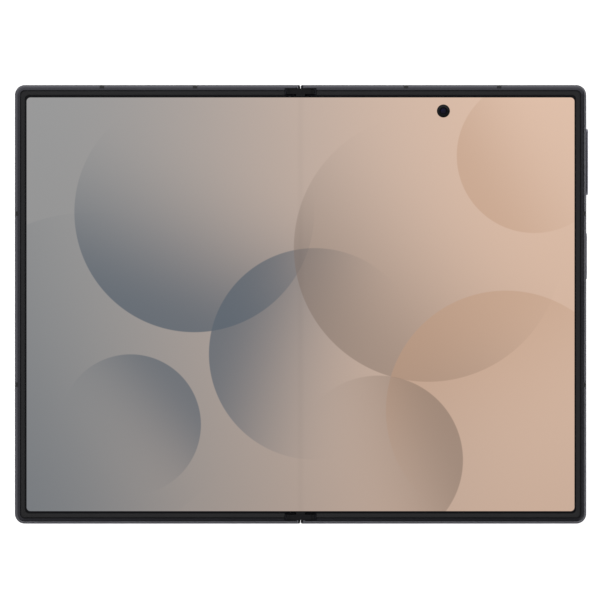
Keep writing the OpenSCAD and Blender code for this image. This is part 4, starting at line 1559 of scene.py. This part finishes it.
@dataclass(frozen=True)
class WallCard:
    """Upright card that shows only in reflections.

    Attributes:
        side: Where it stands.
        away: Its distance from the middle in metres.
        bottom: Height of its lower edge in metres.
        top: Height of its upper edge in metres.
        shade: Its sRGB colour as it is mirrored.
        strength: How bright it is.
    """

    side: Side
    away: float
    bottom: float
    top: float
    shade: str
    strength: float = 1.0

    def points(self, reach: float = 0.9) -> list[tuple[float, float, float]]:
        """Corners of the card, in metres.

        Args:
            reach: Half its length in metres.

        Returns:
            The four corners in order.
        """
        x, y = self.side.value
        ends = [(self.away * x - reach * y, self.away * y + reach * x)]
        ends.append((self.away * x + reach * y, self.away * y - reach * x))
        (x0, y0), (x1, y1) = ends
        return [(x0, y0, self.bottom), (x1, y1, self.bottom), (x1, y1, self.top), (x0, y0, self.top)]


@dataclass(frozen=True)
class FlatCard:
    """Level card that shows only in reflections.

    Attributes:
        low: Lowest X and Y in metres.
        high: Highest X and Y in metres.
        z: Its height in metres.
        shade: Its sRGB colour as it is mirrored.
        strength: How bright it is.
    """

    low: Point
    high: Point
    z: float
    shade: str
    strength: float = 1.0

    def points(self) -> list[tuple[float, float, float]]:
        """Corners of the card, in metres."""
        (x0, y0), (x1, y1) = self.low, self.high
        return [(x0, y0, self.z), (x1, y0, self.z), (x1, y1, self.z), (x0, y1, self.z)]


@dataclass(frozen=True)
class Softbox:
    """Square lamp that faces the phone.

    Attributes:
        place: Where it stands, in metres.
        size: Its side, in metres.
        power: Its power, in watts.
    """

    place: tuple[float, float, float]
    size: float
    power: float


@dataclass
class Studio:
    """Floor, light and camera.

    Attributes:
        image_mm: Width of the image at the screen, in millimetres.
        centre: What the camera looks at, in millimetres.
        lens_mm: Focal length; long, as in a product photo.
        cards: Cards that shape the reflections in the metal band by name: a dark ceiling,
            strips of light low in front and at the right, and a soft gradient at the back
            and the left.
        lamps: The lamps by name.
    """

    image_mm: float = 169.44
    centre: tuple[float, float, float] = (-0.15, 1.22, 6.8)
    lens_mm: float = 900.0
    cards: dict[str, Union[WallCard, FlatCard]] = field(
        default_factory=lambda: {
            "ceiling": FlatCard((-1.6, -1.6), (1.6, 1.6), 2.0, "#5e5e61"),
            "front_low": WallCard(Side.FRONT, 0.6, 0.0, 0.26, "#2a2a2c"),
            "front_strip": WallCard(Side.FRONT, 0.6, 0.28, 0.52, "#ffffff", 2.4),
            "front_high": WallCard(Side.FRONT, 0.6, 0.53, 1.7, "#1e1e20"),
            "right_low": WallCard(Side.RIGHT, 0.7, 0.0, 0.19, "#2a2a2c"),
            "right_strip": WallCard(Side.RIGHT, 0.7, 0.21, 0.46, "#ffffff", 2.4),
            "right_high": WallCard(Side.RIGHT, 0.7, 0.47, 1.7, "#1e1e20"),
            "left_low": WallCard(Side.LEFT, 0.5, 0.0, 0.1, "#989899"),
            "left_middle": WallCard(Side.LEFT, 0.5, 0.1, 0.9, "#ececee"),
            "left_high": FlatCard((-0.5, -0.9), (-0.12, 0.9), 1.4, "#98989c"),
            "back_low": WallCard(Side.BACK, 0.4, 0.0, 0.1, "#ffffff", 1.85),
            "back_middle": WallCard(Side.BACK, 0.4, 0.1, 0.4, "#ffffff"),
            "back_upper": WallCard(Side.BACK, 0.4, 0.4, 1.2, "#d8d8dc"),
            "back_high": FlatCard((-0.9, 0.12), (0.9, 0.4), 1.3, "#b4b4b8"),
        }
    )
    lamps: dict[str, Softbox] = field(
        default_factory=lambda: {
            "top_softbox": Softbox((-0.15, 0.75, 0.75), 0.9, 5.5),
            "left_softbox": Softbox((-0.85, 0.1, 0.7), 0.8, 3.0),
            "fill_softbox": Softbox((0.7, -0.5, 0.9), 0.9, 2.0),
        }
    )

    def build(self) -> None:
        """Sets up the whole studio."""
        self._floor()
        self._world()
        for name, lamp in self.lamps.items():
            self._lamp(name, lamp)
        self._camera()
        for name, card in self.cards.items():
            self._hang_card(f"{name}_card", card)
        scene = bpy.context.scene
        scene.view_settings.view_transform = "Standard"
        LOG.info("studio: floor, world, lamps, camera")

    def _floor(self) -> None:
        """White floor that keeps the object's shadow."""
        size = 3.0
        points = [(-size, -size, 0), (size, -size, 0), (size, size, 0), (-size, size, 0)]
        floor = make_mesh("studio_floor", points, [(0, 1, 2, 3)])
        material, tree = new_material("white_floor")
        direct = seen_or_mirrored(tree)
        paint = add_node(tree, "ShaderNodeBsdfDiffuse", {"Color": (0.8, 0.8, 0.8, 1.0)})
        glow = add_node(tree, "ShaderNodeEmission", {"Color": (1, 1, 1, 1), "Strength": 0.7})
        both = add_node(tree, "ShaderNodeAddShader", {0: paint.outputs[0], 1: glow.outputs[0]})
        mixed = add_node(tree, "ShaderNodeMixShader", {0: direct, 1: paint.outputs[0], 2: both.outputs[0]})
        add_node(tree, "ShaderNodeOutputMaterial", {"Surface": mixed.outputs[0]})
        floor.data.materials.append(material)

    def _world(self) -> None:
        """Even world light, white where it is seen or mirrored."""
        world = bpy.data.worlds.new("studio_world")
        bpy.context.scene.world = world
        world.use_nodes = True
        tree = world.node_tree
        tree.nodes.clear()
        direct = seen_or_mirrored(tree)
        soft = add_node(tree, "ShaderNodeBackground", {"Color": (1, 1, 1, 1), "Strength": 0.6})
        white = add_node(tree, "ShaderNodeBackground", {"Color": (1, 1, 1, 1), "Strength": 1.0})
        mixed = add_node(tree, "ShaderNodeMixShader", {0: direct, 1: soft.outputs[0], 2: white.outputs[0]})
        add_node(tree, "ShaderNodeOutputWorld", {"Surface": mixed.outputs[0]})

    def _hang_card(self, name: str, card: Union[WallCard, FlatCard]) -> None:
        """Adds one card that shows only in reflections, as the cards of a photo studio do.

        Args:
            name: The card's name.
            card: Its place and colour.
        """
        piece = make_mesh(name, card.points(), [(0, 1, 2, 3)])
        material, tree = new_material(name)
        glow = add_node(
            tree, "ShaderNodeEmission", {"Color": linear(card.shade), "Strength": card.strength}
        )
        add_node(tree, "ShaderNodeOutputMaterial", {"Surface": glow.outputs[0]})
        piece.data.materials.append(material)
        piece.visible_camera = False
        piece.visible_diffuse = False
        piece.visible_shadow = False
        piece.visible_transmission = False

    def _lamp(self, name: str, lamp: Softbox) -> None:
        """Adds one soft square lamp that faces the phone.

        Args:
            name: The lamp's name.
            lamp: Its place, size and power.
        """
        light = bpy.data.lights.new(name, "AREA")
        light.size = lamp.size
        light.energy = lamp.power
        made = bpy.data.objects.new(name, light)
        made.location = lamp.place
        made.rotation_mode = "QUATERNION"
        made.rotation_quaternion = Vector(lamp.place).to_track_quat("Z", "Y")
        bpy.context.scene.collection.objects.link(made)

    def _camera(self) -> None:
        """Camera straight above the screen."""
        data = bpy.data.cameras.new("camera")
        data.lens = self.lens_mm
        data.sensor_width = 36.0
        data.clip_start = 0.05
        data.clip_end = 20.0
        camera = bpy.data.objects.new("camera", data)
        distance = self.image_mm * MM * self.lens_mm / data.sensor_width
        x, y, z = (c * MM for c in self.centre)
        camera.location = (x, y, z + distance)
        bpy.context.scene.collection.objects.link(camera)
        bpy.context.scene.camera = camera


def main() -> None:
    """Builds every sub-assembly in order."""
    logging.basicConfig(level=logging.INFO, format="%(message)s")
    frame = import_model()
    plan = BodyPlan()
    wardrobe = Wardrobe()
    Studio().build()
    Screen(plan, wardrobe).build(frame)
    Halves(plan, wardrobe).build(frame)
    Keys(plan, wardrobe).build()
    Ports(plan, wardrobe).build()
    Cameras(plan, wardrobe).build(frame)
    Hinge(plan, wardrobe).build(frame)
    Insides(wardrobe).build(frame)


if __name__ == "__main__":
    main()
